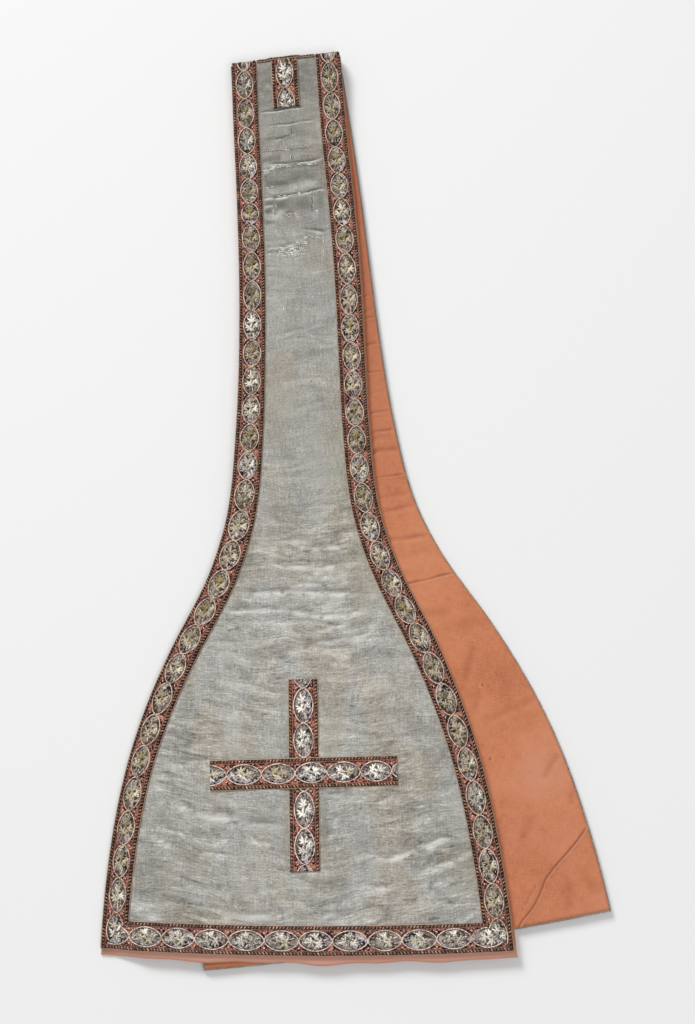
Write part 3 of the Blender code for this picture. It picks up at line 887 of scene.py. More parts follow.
@dataclass(frozen=True)
class FoldLine:
    """One crease drawn through points (from fold, across), all in millimetres."""

    points: Sequence[tuple[float, float]]
    half_width: float
    depth: float
    ridge: float
    shade_and_soil: float = 1.0

    def height(self, across: Array, from_fold: Array) -> tuple[Array, Array]:
        """Finds the crease's relief.

        Args:
            across: distances from the centre line.
            from_fold: distances from the neck fold.

        Returns:
            Heights in metres, and painted trough shade and ridge highlight as two columns; a speck's dark
            mark is dirt.
        """
        spots = np.stack([from_fold, across], axis=1) / MM
        best, signed = np.full(len(spots), 1e3), np.zeros(len(spots))
        for first, last in zip(self.points, self.points[1:]):
            start, run = np.array(first), np.subtract(last, first)
            size = np.linalg.norm(run)
            held = np.clip((spots - start) @ run / size ** 2, 0.0, 1.0)
            gap = spots - start - held[:, None] * run
            far = np.hypot(*gap.T)
            towards_hem = np.array([abs(run[1]), -math.copysign(run[0], run[0] * run[1])])
            side = np.where(gap @ towards_hem > 0.0, 1.0, -1.0)
            signed = np.where(far < best, side, signed)
            best = np.minimum(far, best)
        trough, crest = crease_profile(best * signed, self.half_width)
        # Painted shade in the trough and painted highlight on the ridge; where the line is only a speck,
        # its dark mark is dirt.
        return ((self.ridge * crest - self.depth * trough) * MM,
                np.stack([trough * self.shade_and_soil, crest * self.shade_and_soil * 0.6], axis=1))


def paint_shading_and_wear(mesh: Mesh, wear: Array) -> None:
    """Keeps painted shade, painted highlight, painted sheen, dirt and stains on the mesh.

    Args:
        mesh: the mesh.
        wear: painted shade and dirt, painted ridge highlight, and perhaps stains and painted shade with
            painted sheen below 0, one row a vertex.
    """
    layer = mesh.color_attributes.new(SHADING_AND_WEAR, 'FLOAT_COLOR', 'POINT')
    colours = np.zeros((len(wear), 4))
    colours[:, 3] = 1.0
    colours[:, :wear.shape[1]] = wear
    layer.data.foreach_set("color", colours.ravel())


@dataclass(frozen=True)
class Ripples:
    """Soft irregular ripples: many small waves, each with its own place, length and lean.

    They start anywhere in a zone along the cloth, and festoon says how strongly they hang between
    the sides, per metre.
    """

    seed: int
    count: int
    half_length: float
    half_width: float
    height: float
    zone: tuple[float, float]
    festoon: float = 0.0

    def relief(self, across: Array, along: Array) -> Array:
        """Sums the waves.

        Args:
            across: distances from the centre line.
            along: signed distances from the fold.

        Returns:
            Heights in metres.
        """
        draw = random.Random(self.seed)
        total = np.zeros_like(across)
        for _ in range(self.count):
            centre = (draw.uniform(-RIPPLE_REACH, RIPPLE_REACH), draw.uniform(*self.zone))
            long = self.half_length * draw.uniform(0.5, 1.6)
            wide = self.half_width * draw.uniform(0.6, 1.5)
            lean = draw.gauss(2.0 * self.festoon * centre[0], 0.06)
            bow = draw.uniform(-2.0, 5.0)
            rise = self.height * draw.uniform(0.4, 1.0) * draw.choice((-1.0, 1.0))
            x = across - centre[0]
            y = along - centre[1] - lean * x - bow * x * x
            near = (np.abs(x) < 3 * long) & (np.abs(y) < 3 * wide)
            total[near] += rise * np.exp(-(x[near] / long) ** 2 - (y[near] / wide) ** 2)
        return total


@dataclass
class SilkPanel:
    """The silk with its interlining, hem to hem round the fold."""

    cloth: LaidCloth
    finish: Material
    columns: int = 63
    neck_row: float = 0.0010
    fine_row: float = 0.0005
    row: float = 0.0014
    coarse_row: float = 0.0090
    fine_zone: tuple[float, float] = (0.027, 0.128)
    under_zone: tuple[float, float] = (0.010, 0.012)
    festoon: float = 1.1
    festoon_start: float = 0.30
    festoon_reach: float = 0.09
    hang_waves: Rows = ((0.0008, 130.0, 40.0, 0.0), (0.0010, 61.0, 0.0, 2.0))
    relief_limits: tuple[float, float] = (-0.0011, 0.0009)
    edge_tarnish: float = 0.38
    edge_tarnish_reach: float = 0.0032
    edge_tarnish_start: float = 0.22
    edge_tarnish_rise: float = 0.06
    waves: Sequence[Ripples] = (
        Ripples(7, 150, 0.0085, 0.0015, 0.00020, (-0.494, -0.10)),
        Ripples(11, 150, 0.0110, 0.0019, 0.00030, (-0.350, -0.255), 0.4),
        Ripples(13, 230, 0.0100, 0.0020, 0.00040, (-0.494, -0.405), 1.1),
        Ripples(19, 60, 0.022, 0.012, 0.00035, (-0.494, -0.02)))
    creases: CreaseField = field(default_factory=lambda: CreaseField((
        # from fold, left, right, drop, bow, half width, depth, ridge
        (30.2, -16, 8, -0.8, 0, 0.5, 0.55, 0.4), (38.9, -11.5, 13, -0.7, 0.3, 0.5, 0.6, 0.25),
        (48.2, -8.5, 2.5, -2.6, 0.3, 0.6, 0.5, 0.25), (46, 3, 12, 0.8, 0, 2.2, 0.25, 0.1),
        (63.5, -11.5, 16.2, -1, 0.4, 0.6, 0.95, 0.6), (68, -17.2, -10.2, -4.6, 0.4, 0.7, 0.6, 0.35),
        (61, -17, -6, 0.5, 0, 2, 0.35, 0.15), (75.5, -16, 4, -1.5, 0.5, 3.2, 0.65, 0.25),
        (72.5, 3, 14, 0.5, 0, 2.4, 0.35, 0.2), (84, -17.2, 16.5, -3, 0.2, 0.6, 0.95, 0.55),
        (89.5, -15, -6, 0, 0, 2.4, 0.45, 0.2), (94, -16.5, -10, -1.5, 0, 1.6, 0.35, 0.15),
        (91, 0, 12, 0.6, 0, 3.2, 0.4, 0.15), (103.7, 4, 16, 2.9, 0, 0.7, 0.55, 0.25),
        (113.9, -9.2, 2.5, 0.4, 0, 0.5, 0.6, 0.4), (118.1, -6, 4, 0.2, 0, 0.5, 0.55, 0.4),
        (88.2, -17.5, -12.5, -0.4, 0, 0.6, 0.4, 0.3), (113.5, -17.5, -2, -0.8, 0.3, 0.8, 0.35, 0.3),
        (117.1, -17.5, 4, -0.8, 0.5, 0.5, 0.3, 0.35), (165.8, -17.9, 9.3, -5.3, 0.4, 0.8, 0.3, 0.1),
        (207.8, -2, 11, -3.4, 0, 1.2, 0.25, 0.12), (190, -12, 3, 1, 0.4, 2.2, 0.2, 0.1),
        (281.6, -16.5, 1.5, 0.7, 0, 0.9, 0.4, 0.3), (286.5, 3.5, 23, -1.9, 0.2, 1, 0.3, 0.45),
        (294.8, -13, 27, -0.2, 1.8, 1, 0.32, 0.45), (309.7, -33, 32.5, 2.2, -1.2, 1.1, 0.5, 0.45),
        (305.6, -8, 7, 0.2, 0, 1, 0.2, 0.45), (319, -40, -8.5, 0.3, 0.2, 0.9, 0.45, 0.45),
        (319.2, -6.5, 29, 1, 3.2, 1.1, 0.45, 0.5), (337, 4.5, 31, -4.4, 0.3, 1.3, 0.45, 0.3),
        (331.5, 4.5, 22.5, -4.9, 0.2, 1, 0.2, 0.45), (336.2, -47, -32.5, 0.1, 0, 1.1, 0.35, 0.2),
        (421, -65, -44, 5.9, 0.8, 1.1, 0.25, 0.5), (428, -44, -32, -1.7, 0.4, 1, 0.25, 0.5),
        (430.4, -39.5, -12.5, 1.2, -1.6, 1.2, 0.55, 0.25),
        (423.5, -47, -37, 1.5, 0, 1.6, 0.45, 0.2), (436, -77, -68.5, 5.2, 0.6, 1.2, 0.2, 0.5),
        (437.8, -28.5, -18.5, 1.2, 0, 1.1, 0.25, 0.45), (444.2, -54.5, -45.5, 0.3, 0, 0.8, 0.2, 0.45),
        (462.5, -23.5, -16.5, -0.7, 0, 0.9, 0.2, 0.45), (467.5, -86, -74, 9, 0, 1.6, 0.2, 0.4),
        (426.8, 8, 17, 0.4, 0, 1, 0.25, 0.5), (429.6, 14.5, 21.5, 0.8, 0, 1.3, 0.55, 0.25),
        (444.6, 29.5, 47, 1.6, 0.6, 1.1, 0.3, 0.5), (446.2, 45.5, 73, -10, 0.9, 1.2, 0.3, 0.5),
        (458.6, 29, 46.5, 0.4, 1.6, 1.1, 0.3, 0.5), (458.8, 59, 76, -2.4, 0.5, 1.1, 0.25, 0.45),
        (466.4, 38, 47.5, -0.2, 0.3, 0.9, 0.2, 0.45), (472.6, 7, 13.5, 0.3, 0.2, 0.9, 0.2, 0.45),
        (472, -40, -18, 1.5, 0.8, 1.2, 0.35, 0.35), (452, 62, 84, -7.5, 0.6, 1.2, 0.28, 0.4))))
    # Dark spots: those in the neck are painted shade in its broad hollows; the rest are stains, but for
    # two that darken the lower left corner.
    stain_and_shade_spots: Rows = (
        # from fold, across, half along, half across, strength
        (47.4, -2.6, 1.5, 5, 0.85), (43, 5, 3.6, 6, 0.3), (47.4, -11.5, 1.2, 2.5, 0.55),
        (66.9, -9, 1.3, 5, 0.8), (66.2, 6, 1.2, 9, 0.65), (70, -16.6, 4.2, 1.7, 0.85),
        (75.7, -8.2, 1.7, 5.6, 0.95), (73.9, 6.5, 2.2, 6.5, 0.6), (69.6, 5, 1.6, 8, 0.35),
        (86.4, -14.8, 1.3, 3.2, 0.75), (88.4, -6.5, 3.6, 4.6, 0.7), (93.4, -4.6, 1.3, 3, 0.7),
        (89, 5, 4, 4.2, 0.5), (91.6, -16, 1.5, 2.8, 0.9), (98.4, -16.3, 1.5, 2.8, 0.8),
        (88, 14, 5, 2.6, 0.6), (105.6, 10.5, 1.1, 5.5, 0.6), (101, -4, 3, 7, 0.22),
        (462, -70.5, 17, 6, 0.42), (452, -57, 9, 6.5, 0.3), (459, 10.6, 3.4, 5.6, 0.5),
        (443, -7, 7, 4, 0.25), (309.8, -9, 1.6, 7, 0.6), (305.5, 28.2, 8, 2.6, 0.45),
        (312, 26, 2, 6, 0.45), (345, -22, 10, 12, 0.22), (381, 14, 16, 5, 0.3),
        (377, 44, 14, 6, 0.2), (377, -9.8, 20, 1.5, 0.6), (377, 9.6, 18, 1.2, 0.35),
        (434, -9.6, 18, 1.2, 0.4), (434, 9.8, 18, 1.5, 0.55), (397, -30, 1.2, 18, 0.3),
        (415.6, 28, 1.3, 19, 0.35), (300, -14, 3, 9, 0.25))
    sheens: Rows = (
        # from fold, across, half along, half across, how much lighter, or darker below 0
        (139.8, -6, 9, 14, -0.14), (210, -12, 10, 7, 0.07), (285, -25, 12, 8, 0.13),
        (341, -11, 9, 9, 0.1), (347, 24, 13, 10, 0.1), (383, -38, 15, 9, 0.12),
        (459, -80, 24, 7, -0.28), (460, -28, 11, 10, 0.1), (465, 22, 9, 11, 0.09),
        (467, 65, 7, 8, -0.16), (368, -61, 8, 7, -0.16), (384, 65, 8, 8, -0.12))

    def rows(self) -> Array:
        """Spaces the rows: finest below the neck, coarse on the hidden half.

        Returns:
            Their places along.
        """
        end, (fine_start, fine_end) = self.cloth.half_length, self.fine_zone
        turn_end, under_start = self.under_zone
        upper = spaced((0.0, fine_start, self.neck_row), (fine_start, fine_end, self.fine_row),
                       (fine_end, end - 0.0005, self.row))
        under = spaced((0.0006, turn_end, self.neck_row), (under_start, end - 0.002, self.coarse_row))
        return np.concatenate([[-end], -upper[::-1], under, [end]])

    def relief(self, across: Array, along: Array) -> tuple[Array, Array]:
        """Finds the silk's relief, which fades out under the galloon.

        Args:
            across: distances from the centre line.
            along: signed distances from the fold.

        Returns:
            Height of the outer face above its smooth one, and painted shade, painted ridge highlight, and
            stains and painted shade with painted sheen below 0, as columns.
        """
        from_fold = np.abs(along)
        inner = self.cloth.half_width(from_fold) - self.cloth.galloon_span(from_fold)
        clear = ease((inner - np.abs(across)) / (2.0 * MM))
        height, wear = self.creases.height(across, from_fold)
        tone = self.tone(across, from_fold)
        # Darker broad sheen joins the first column as painted shade; lighter broad sheen goes into the
        # third, below 0, as painted sheen.
        wear[:, 0] = np.maximum(wear[:, 0], -tone)
        wear = np.column_stack([wear, self.stain_and_shade(across, from_fold) - np.maximum(tone, 0.0)])
        for waves in self.waves:
            height += waves.relief(across, along)
        shown = np.where(along < 0.0, clear, 0.0)
        return np.clip(height, *self.relief_limits) * shown, wear * shown[:, None]

    def stain_and_shade(self, across: Array, from_fold: Array) -> Array:
        """Finds the dark spots of painted shade and tea-coloured stains, and the dirt beside the galloon
        in the flare.

        Args:
            across: distances from the centre line.
            from_fold: distances from the neck fold.

        Returns:
            How strong they are.
        """
        inner = self.cloth.half_width(from_fold) - self.cloth.galloon_span(from_fold) - np.abs(across)
        total = (self.edge_tarnish * np.exp(-(inner / self.edge_tarnish_reach) ** 2)
                 * ease((from_fold - self.edge_tarnish_start) / self.edge_tarnish_rise))
        total *= 0.65 + 0.35 * np.sin(from_fold * 95.0 + across * 31.0)
        for *spot, strength in self.stain_and_shade_spots:
            total = np.maximum(total, strength * np.exp(-soft_spot(spot, across, from_fold) ** 1.5))
        return total

    def tone(self, across: Array, from_fold: Array) -> Array:
        """Finds where the silk's sheen is lighter or darker, in broad soft places.

        Args:
            across: distances from the centre line.
            from_fold: distances from the neck fold.

        Returns:
            How much lighter it is, or darker below 0.
        """
        total = np.zeros_like(across)
        for *spot, strength in self.sheens:
            total += strength * np.exp(-soft_spot(spot, across, from_fold))
        return total

    def build(self) -> Object:
        """Returns:
            The silk.
        """
        cloth = self.cloth
        mesh = flat_wall(self.rows(), np.linspace(0.0, 1.0, self.columns),
                         lambda along: np.stack([-cloth.half_width(np.abs(along)),
                                                 cloth.half_width(np.abs(along))]),
                         cloth.silk_in, cloth.silk_out)
        flat = points_of(mesh)
        chart(mesh, CLOTH_UV, flat)
        across, along, out = flat.T
        drape = ease((np.abs(along) - self.festoon_start) / self.festoon_reach)
        hang = along - self.festoon * across ** 2 * drape
        hang += sum(rise * np.sin(across * wide + along * long + shift)
                    for rise, wide, long, shift in self.hang_waves)
        chart(mesh, WATER_UV, np.stack([across, hang], axis=1))
        height, wear = self.relief(across, along)
        paint_shading_and_wear(mesh, wear)
        flat[:, 2] += np.where(out > cloth.silk_out - 1e-6, height, 0.0)
        set_points(mesh, cloth.lay(flat))
        piece = link_piece("silk_panel", mesh, self.finish)
        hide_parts("silk")
        return piece


@dataclass
class LiningPanel:
    """The lining, hem to hem: it sags below the upper hem and creeps past its right edge."""

    cloth: LaidCloth
    finish: Material
    wall: float = 0.0010
    columns: int = 70
    column_spread: tuple[Sequence[float], Sequence[float]] = ((0.0, 0.20, 0.36, 1.0), (0.0, 0.5, 0.7, 1.0))
    row: float = 0.0013
    fine_row: float = 0.0005
    corner_row: float = 0.0009
    coarse_row: float = 0.0080
    fine_zone: tuple[float, float] = (0.140, 0.320)
    corner_zone: float = 0.438
    hem_zone: tuple[float, float] = (0.450, 0.452)
    hem_row: float = 0.002
    turn_zone: tuple[float, float] = (0.008, 0.010)
    under_row: float = 0.003
    sag: float = 0.0038
    sag_corner: float = 0.0031
    sag_reach: float = 0.030
    sag_waves: Rows = ((0.0006, 95.0, 0.6), (0.0005, 210.0, 0.0))
    inset: float = 0.0008
    inset_reach: float = 0.010
    creep_start: float = 0.040
    relief_limits: tuple[float, float] = (-0.0008, 0.0005)
    back_share: float = 0.35
    waves: Ripples = Ripples(5, 90, 0.018, 0.0050, 0.00030, (0.12, 0.49))
    creep: Table = field(default_factory=lambda: Table(
        ("from_fold", "past"),
        ((0.0, 0.0009), (0.270, 0.0009), (0.330, 0.0001), (0.445, 0.0001), (0.494, 0.0018))))
    creases: CreaseField = field(default_factory=lambda: CreaseField((
        # from fold, left, right, drop, bow, half width, depth, ridge
        (146.8, 12, 35.5, -0.4, 0, 0.8, 0.35, 0.25), (155, 12, 35, 0.5, 0, 1.2, 0.2, 0.1),
        (158.9, 12, 35.8, 1, 0, 0.6, 0.6, 0.35), (175.5, 12, 36, -0.8, 0.2, 0.8, 0.5, 0.2),
        (191, 14, 36.5, 1, -0.2, 0.5, 0.6, 0.35), (204.6, 14, 34, -1.3, 0, 1, 0.2, 0.1),
        (215.3, 14, 37, -0.3, 0, 0.7, 0.55, 0.35), (225.6, 15, 37.5, 0.3, 0.3, 0.9, 0.5, 0.2),
        (228.8, 15, 34, 1, 0, 1.8, 0.3, 0.15), (236.9, 15, 38.5, 0.3, 0, 1.4, 0.65, 0.2),
        (252.4, 15, 41.5, -0.3, -0.4, 0.5, 0.6, 0.2), (263.2, 17, 41, -0.6, 0.2, 1.2, 0.2, 0.1),
        (271.4, 18, 43, -1.5, 0, 1.3, 0.4, 0.2), (287.2, 20, 47, 0.3, 0.3, 1.4, 0.45, 0.25),
        (297, 24, 46, -2, 0.8, 2.4, 0.2, 0.12), (312.6, 25, 58, -2.6, 0.2, 0.6, 0.75, 0.3),
        (329.9, 34, 50, 0.6, 0, 2.2, 0.3, 0.15), (340, 44, 66, -2, 0.6, 3.5, 0.25, 0.15),
        (398, 60, 92, -3, 1, 4, 0.25, 0.15)), 0.00012))
    lines: Sequence[FoldLine] = (
        # points, half width, depth, ridge, strength of the painted shade, highlight and dirt
        FoldLine(((447, 103.4), (453.4, 98.1), (458.2, 92.8), (462.2, 87.6), (468.1, 79.5),
                  (472.8, 74.3), (478.6, 70.6), (482.9, 67.3), (486.3, 64), (490.5, 59.3),
                  (494.5, 56)), 0.42, 0.6, 0.4, 1.35),
        FoldLine(((475.1, 68.7), (478.5, 65.5), (482.8, 62.1)), 0.6, 0.3, 0.2, 0.5),
        FoldLine(((371.6, 59.2), (372.2, 59.2)), 0.5, 0.15, 0, 1.6),
        FoldLine(((409.8, 56.8), (410.4, 56.7)), 0.5, 0.15, 0, 1.6),
        FoldLine(((431.5, 97.5), (438.2, 94.3)), 1.3, 0.35, 0.25, 0.5),
        FoldLine(((478, 85.8), (487, 84.6)), 2.6, 0.4, 0.25, 0.35),
        FoldLine(((443.9, 72), (451.1, 67.3)), 3, 0.4, 0.25, 0.35),
        FoldLine(((476, 95.5), (482.5, 99.8)), 2.6, 0.35, 0.2, 0.3),
        FoldLine(((352.6, 58.3), (359.8, 54.3), (367.3, 51.8)), 2, 0.45, 0.25, 0.4),
        FoldLine(((376.6, 56.4), (383.9, 53.2)), 2.2, 0.35, 0.2, 0.3),
        FoldLine(((390.2, 59.5), (386.5, 72.7), (383, 85.5)), 1.8, 0.35, 0.2, 0.35),
        FoldLine(((414.2, 91.7), (417.4, 88), (422.8, 83.9)), 1.5, 0.4, 0.2, 0.45),
        FoldLine(((432, 97.9), (435.2, 94.6)), 1.2, 0.4, 0.2, 0.45))

    def rows(self) -> Array:
        """Spaces the rows: fine on the lower half, whose lining shows.

        Returns:
            Their places along.
        """
        end, (fine_start, fine_end) = self.cloth.half_length, self.fine_zone
        (turn_end, flat_start), (flat_end, hem_start) = self.turn_zone, self.hem_zone
        upper = spaced((0.0, turn_end, self.row), (flat_start, flat_end, self.coarse_row),
                       (hem_start, end - 0.001, self.hem_row))
        under = spaced((0.0008, turn_end, self.row), (flat_start, fine_start, self.under_row),
                       (fine_start, fine_end, self.fine_row), (fine_end, self.corner_zone, self.row),
                       (self.corner_zone, end - 0.0015, self.corner_row))
        return np.concatenate([[-end], -upper[::-1], under, [end]])

    def edges(self, along: Array) -> Array:
        """Finds the lining's edges: inside the silk's, but for the upper half's right one.

        Args:
            along: signed distances from the fold.

        Returns:
            Its left and right edge, as two rows.
        """
        wide = self.cloth.half_width(np.abs(along))
        clear_of_fold = ease(np.abs(along) / self.creep_start)
        creep = np.where(along < 0.0, self.creep.at(np.abs(along), "past"), -self.inset)
        flush = ease((-along - self.cloth.half_length + self.sag_reach) / self.sag_reach)
        return np.stack([-wide + self.inset * (1.0 - flush),
                         wide - self.inset + clear_of_fold * (creep + self.inset)])

    def refine(self, mesh: Mesh) -> None:
        """Splits the cells that the narrow drawn creases cross.

        Args:
            mesh: the flat lining.
        """
        bm = bmesh.new()
        bm.from_mesh(mesh)
        middles = np.array([((edge.verts[0].co + edge.verts[1].co) / 2)[:] for edge in bm.edges])
        close = np.zeros(len(middles), bool)
        for line in self.lines:
            if line.half_width < 1.0:
                _, marks = replace(line, half_width=1.3, shade_and_soil=1.0).height(middles[:, 0], middles[:, 1])
                close |= marks[:, 0] > 0.30
        chosen = [edge for edge, is_close in zip(bm.edges, close) if is_close]
        bmesh.ops.subdivide_edges(bm, edges=chosen, cuts=2, use_grid_fill=True)
        bm.to_mesh(mesh)
        bm.free()

    def hem(self, across: Array, along: Array) -> Array:
        """Lets the upper hem sag, unevenly, and draws the lower one in.

        Args:
            across: distances from the centre line.
            along: signed distances from the fold.

        Returns:
            The places along that they move to.
        """
        end = self.cloth.half_length
        side = np.clip(1.0 - (across / self.cloth.half_width(end)) ** 2, 0.0, 1.0)
        wave = sum(rise * np.sin(across * wide + shift) for rise, wide, shift in self.sag_waves)
        sag = self.sag_corner + (self.sag - self.sag_corner) * side + wave * side
        near = ease((-along - end + self.sag_reach) / self.sag_reach)
        inward = self.inset * ease((along - end + self.inset_reach) / self.inset_reach)
        return along - sag * near - inward

    def relief(self, across: Array, along: Array) -> tuple[Array, Array]:
        """Finds the relief of the lining's free face on the lower half.

        Args:
            across: distances from the centre line.
            along: signed distances from the fold.

        Returns:
            Its height, and painted shade with specks of dirt, and painted ridge highlight, as columns.
        """
        height, wear = self.creases.height(across, along)
        for line in self.lines:
            rise, marks = line.height(across, along)
            height += rise
            wear = np.maximum(wear, marks)
        height += self.waves.relief(across, along)
        near_edge = ease((self.cloth.half_width(np.abs(along)) - np.abs(across)) / (4 * MM))
        shown = np.where(along > self.turn_zone[1], near_edge, 0.0)
        return np.clip(height, *self.relief_limits) * shown, wear * shown[:, None]

    def build(self) -> Object:
        """Returns:
            The lining.
        """
        cloth = self.cloth
        columns = np.interp(np.linspace(0.0, 1.0, self.columns), *self.column_spread)
        mesh = flat_wall(self.rows(), columns, self.edges, 0.0, self.wall)
        self.refine(mesh)
        flat = points_of(mesh)
        height, wear = self.relief(flat[:, 0], flat[:, 1])
        paint_shading_and_wear(mesh, wear)
        chart(mesh, CLOTH_UV, flat)
        flat[:, 2] -= height * np.where(flat[:, 2] < self.wall / 2, 1.0, self.back_share)
        flat[:, 1] = self.hem(flat[:, 0], flat[:, 1])
        set_points(mesh, cloth.lay(flat))
        piece = link_piece("lining_panel", mesh, self.finish)
        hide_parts("lining")
        return piece


# ---------------------------------------------------------------------------- galloon
class Sprig(Enum):
    """How a leaf sprig in an oval is coloured, with the letter that stands for it in a chart."""

    WHITE = "W"
    SILVER = "S"
    CREAM = "C"
    GOLD = "G"
    MIXED = "M"
    OLIVE = "O"


@dataclass(frozen=True)
class Threads:
    """Thread colours of the galloon."""

    cord: Triple = (0.680, 0.530, 0.405)
    white: Triple = (0.860, 0.820, 0.720)
    light: Triple = (0.730, 0.650, 0.500)
    cream: Triple = (0.590, 0.500, 0.350)
    silver: Triple = (0.520, 0.480, 0.410)
    gold: Triple = (0.360, 0.285, 0.130)
    olive: Triple = (0.350, 0.285, 0.170)
    lilac: Triple = (0.265, 0.225, 0.265)
    shade: Triple = (0.020, 0.014, 0.014)
    dark: Triple = (0.010, 0.006, 0.006)
    tan: Triple = (0.430, 0.260, 0.150)
    red: Triple = (0.340, 0.110, 0.070)
    dot: Triple = (0.740, 0.520, 0.450)

    def leaf(self, kind: Sprig) -> tuple[Sequence[float], Sequence[float], Sequence[float]]:
        """Looks up a sprig's colours.

        Args:
            kind: its colouring.

        Returns:
            Those of its upper leaf, lower leaf and veins.
        """
        return {Sprig.WHITE: (self.white, self.white, self.olive),
                Sprig.SILVER: (self.silver, self.white, self.olive),
                Sprig.CREAM: (self.cream, self.light, self.olive),
                Sprig.GOLD: (self.gold, self.cream, self.gold),
                Sprig.MIXED: (self.light, self.white, self.gold),
                Sprig.OLIVE: (self.olive, self.cream, self.olive)}[kind]


@dataclass(frozen=True)
class Leaf:
    """One leaf of a sprig: its middle in mm, and its lobes.

    A lobe says: direction from +y in degrees, reach in mm, half width in degrees.
    """

    across: float
    along: float
    lobes: Sequence[Triple]


LEAVES = (
    Leaf(-0.3, 1.9, ((-16, 4.3, 25), (34, 3.9, 23), (78, 2.6, 24), (-56, 3.3, 20),
                     (-100, 3, 24), (172, 2.8, 30))),
    Leaf(1.6, -0.2, ((28, 3.5, 27), (72, 2.7, 22), (116, 2.7, 26), (-146, 3, 30))),
    Leaf(-1, -1.8, ((-46, 3.4, 25), (-88, 3, 20), (-128, 2.8, 24), (14, 2.6, 28),
                    (128, 3.4, 28), (170, 2.6, 20))))
VEINS = (
    # across, along, length, turn
    (-0.3, 1.6, 2.8, 4), (1.5, -0.5, 2.6, 35), (-0.9, -1.7, 2.4, -48), (0.2, -1.1, 2, 2))
STALK = (0.9, -5.2, 3.7, -14)
SILVER_STROKES = (
    # across, along, length, turn, width
    (-1, 6.5, 2.2, 68, 0.6), (0.2, 5.6, 1.4, -38, 0.55))
LILAC_STROKES = (
    # across, along, length, turn
    (-2.7, 3.8, 1.9, -14), (-2, 5, 1.9, -30), (-0.5, -5.2, 1.9, 12))
DARK_STROKES = (
    # across, along, length, turn
    (1, 1.6, 1.9, 30), (-1.8, 0.3, 2, -70), (0.9, -2.4, 1.6, 150), (2.7, -2.4, 2.2, 20),
    (-2.3, -4.2, 1.8, -30), (1.9, 4.6, 2, -30), (-3.4, -1.2, 1.8, 4))
SILVER_TICKS = (
    # across, along
    (2.5, 3), (2.6, -3.6), (-1.6, -5.4), (0.9, 6.9), (-3.5, 0.4), (3.4, 1))


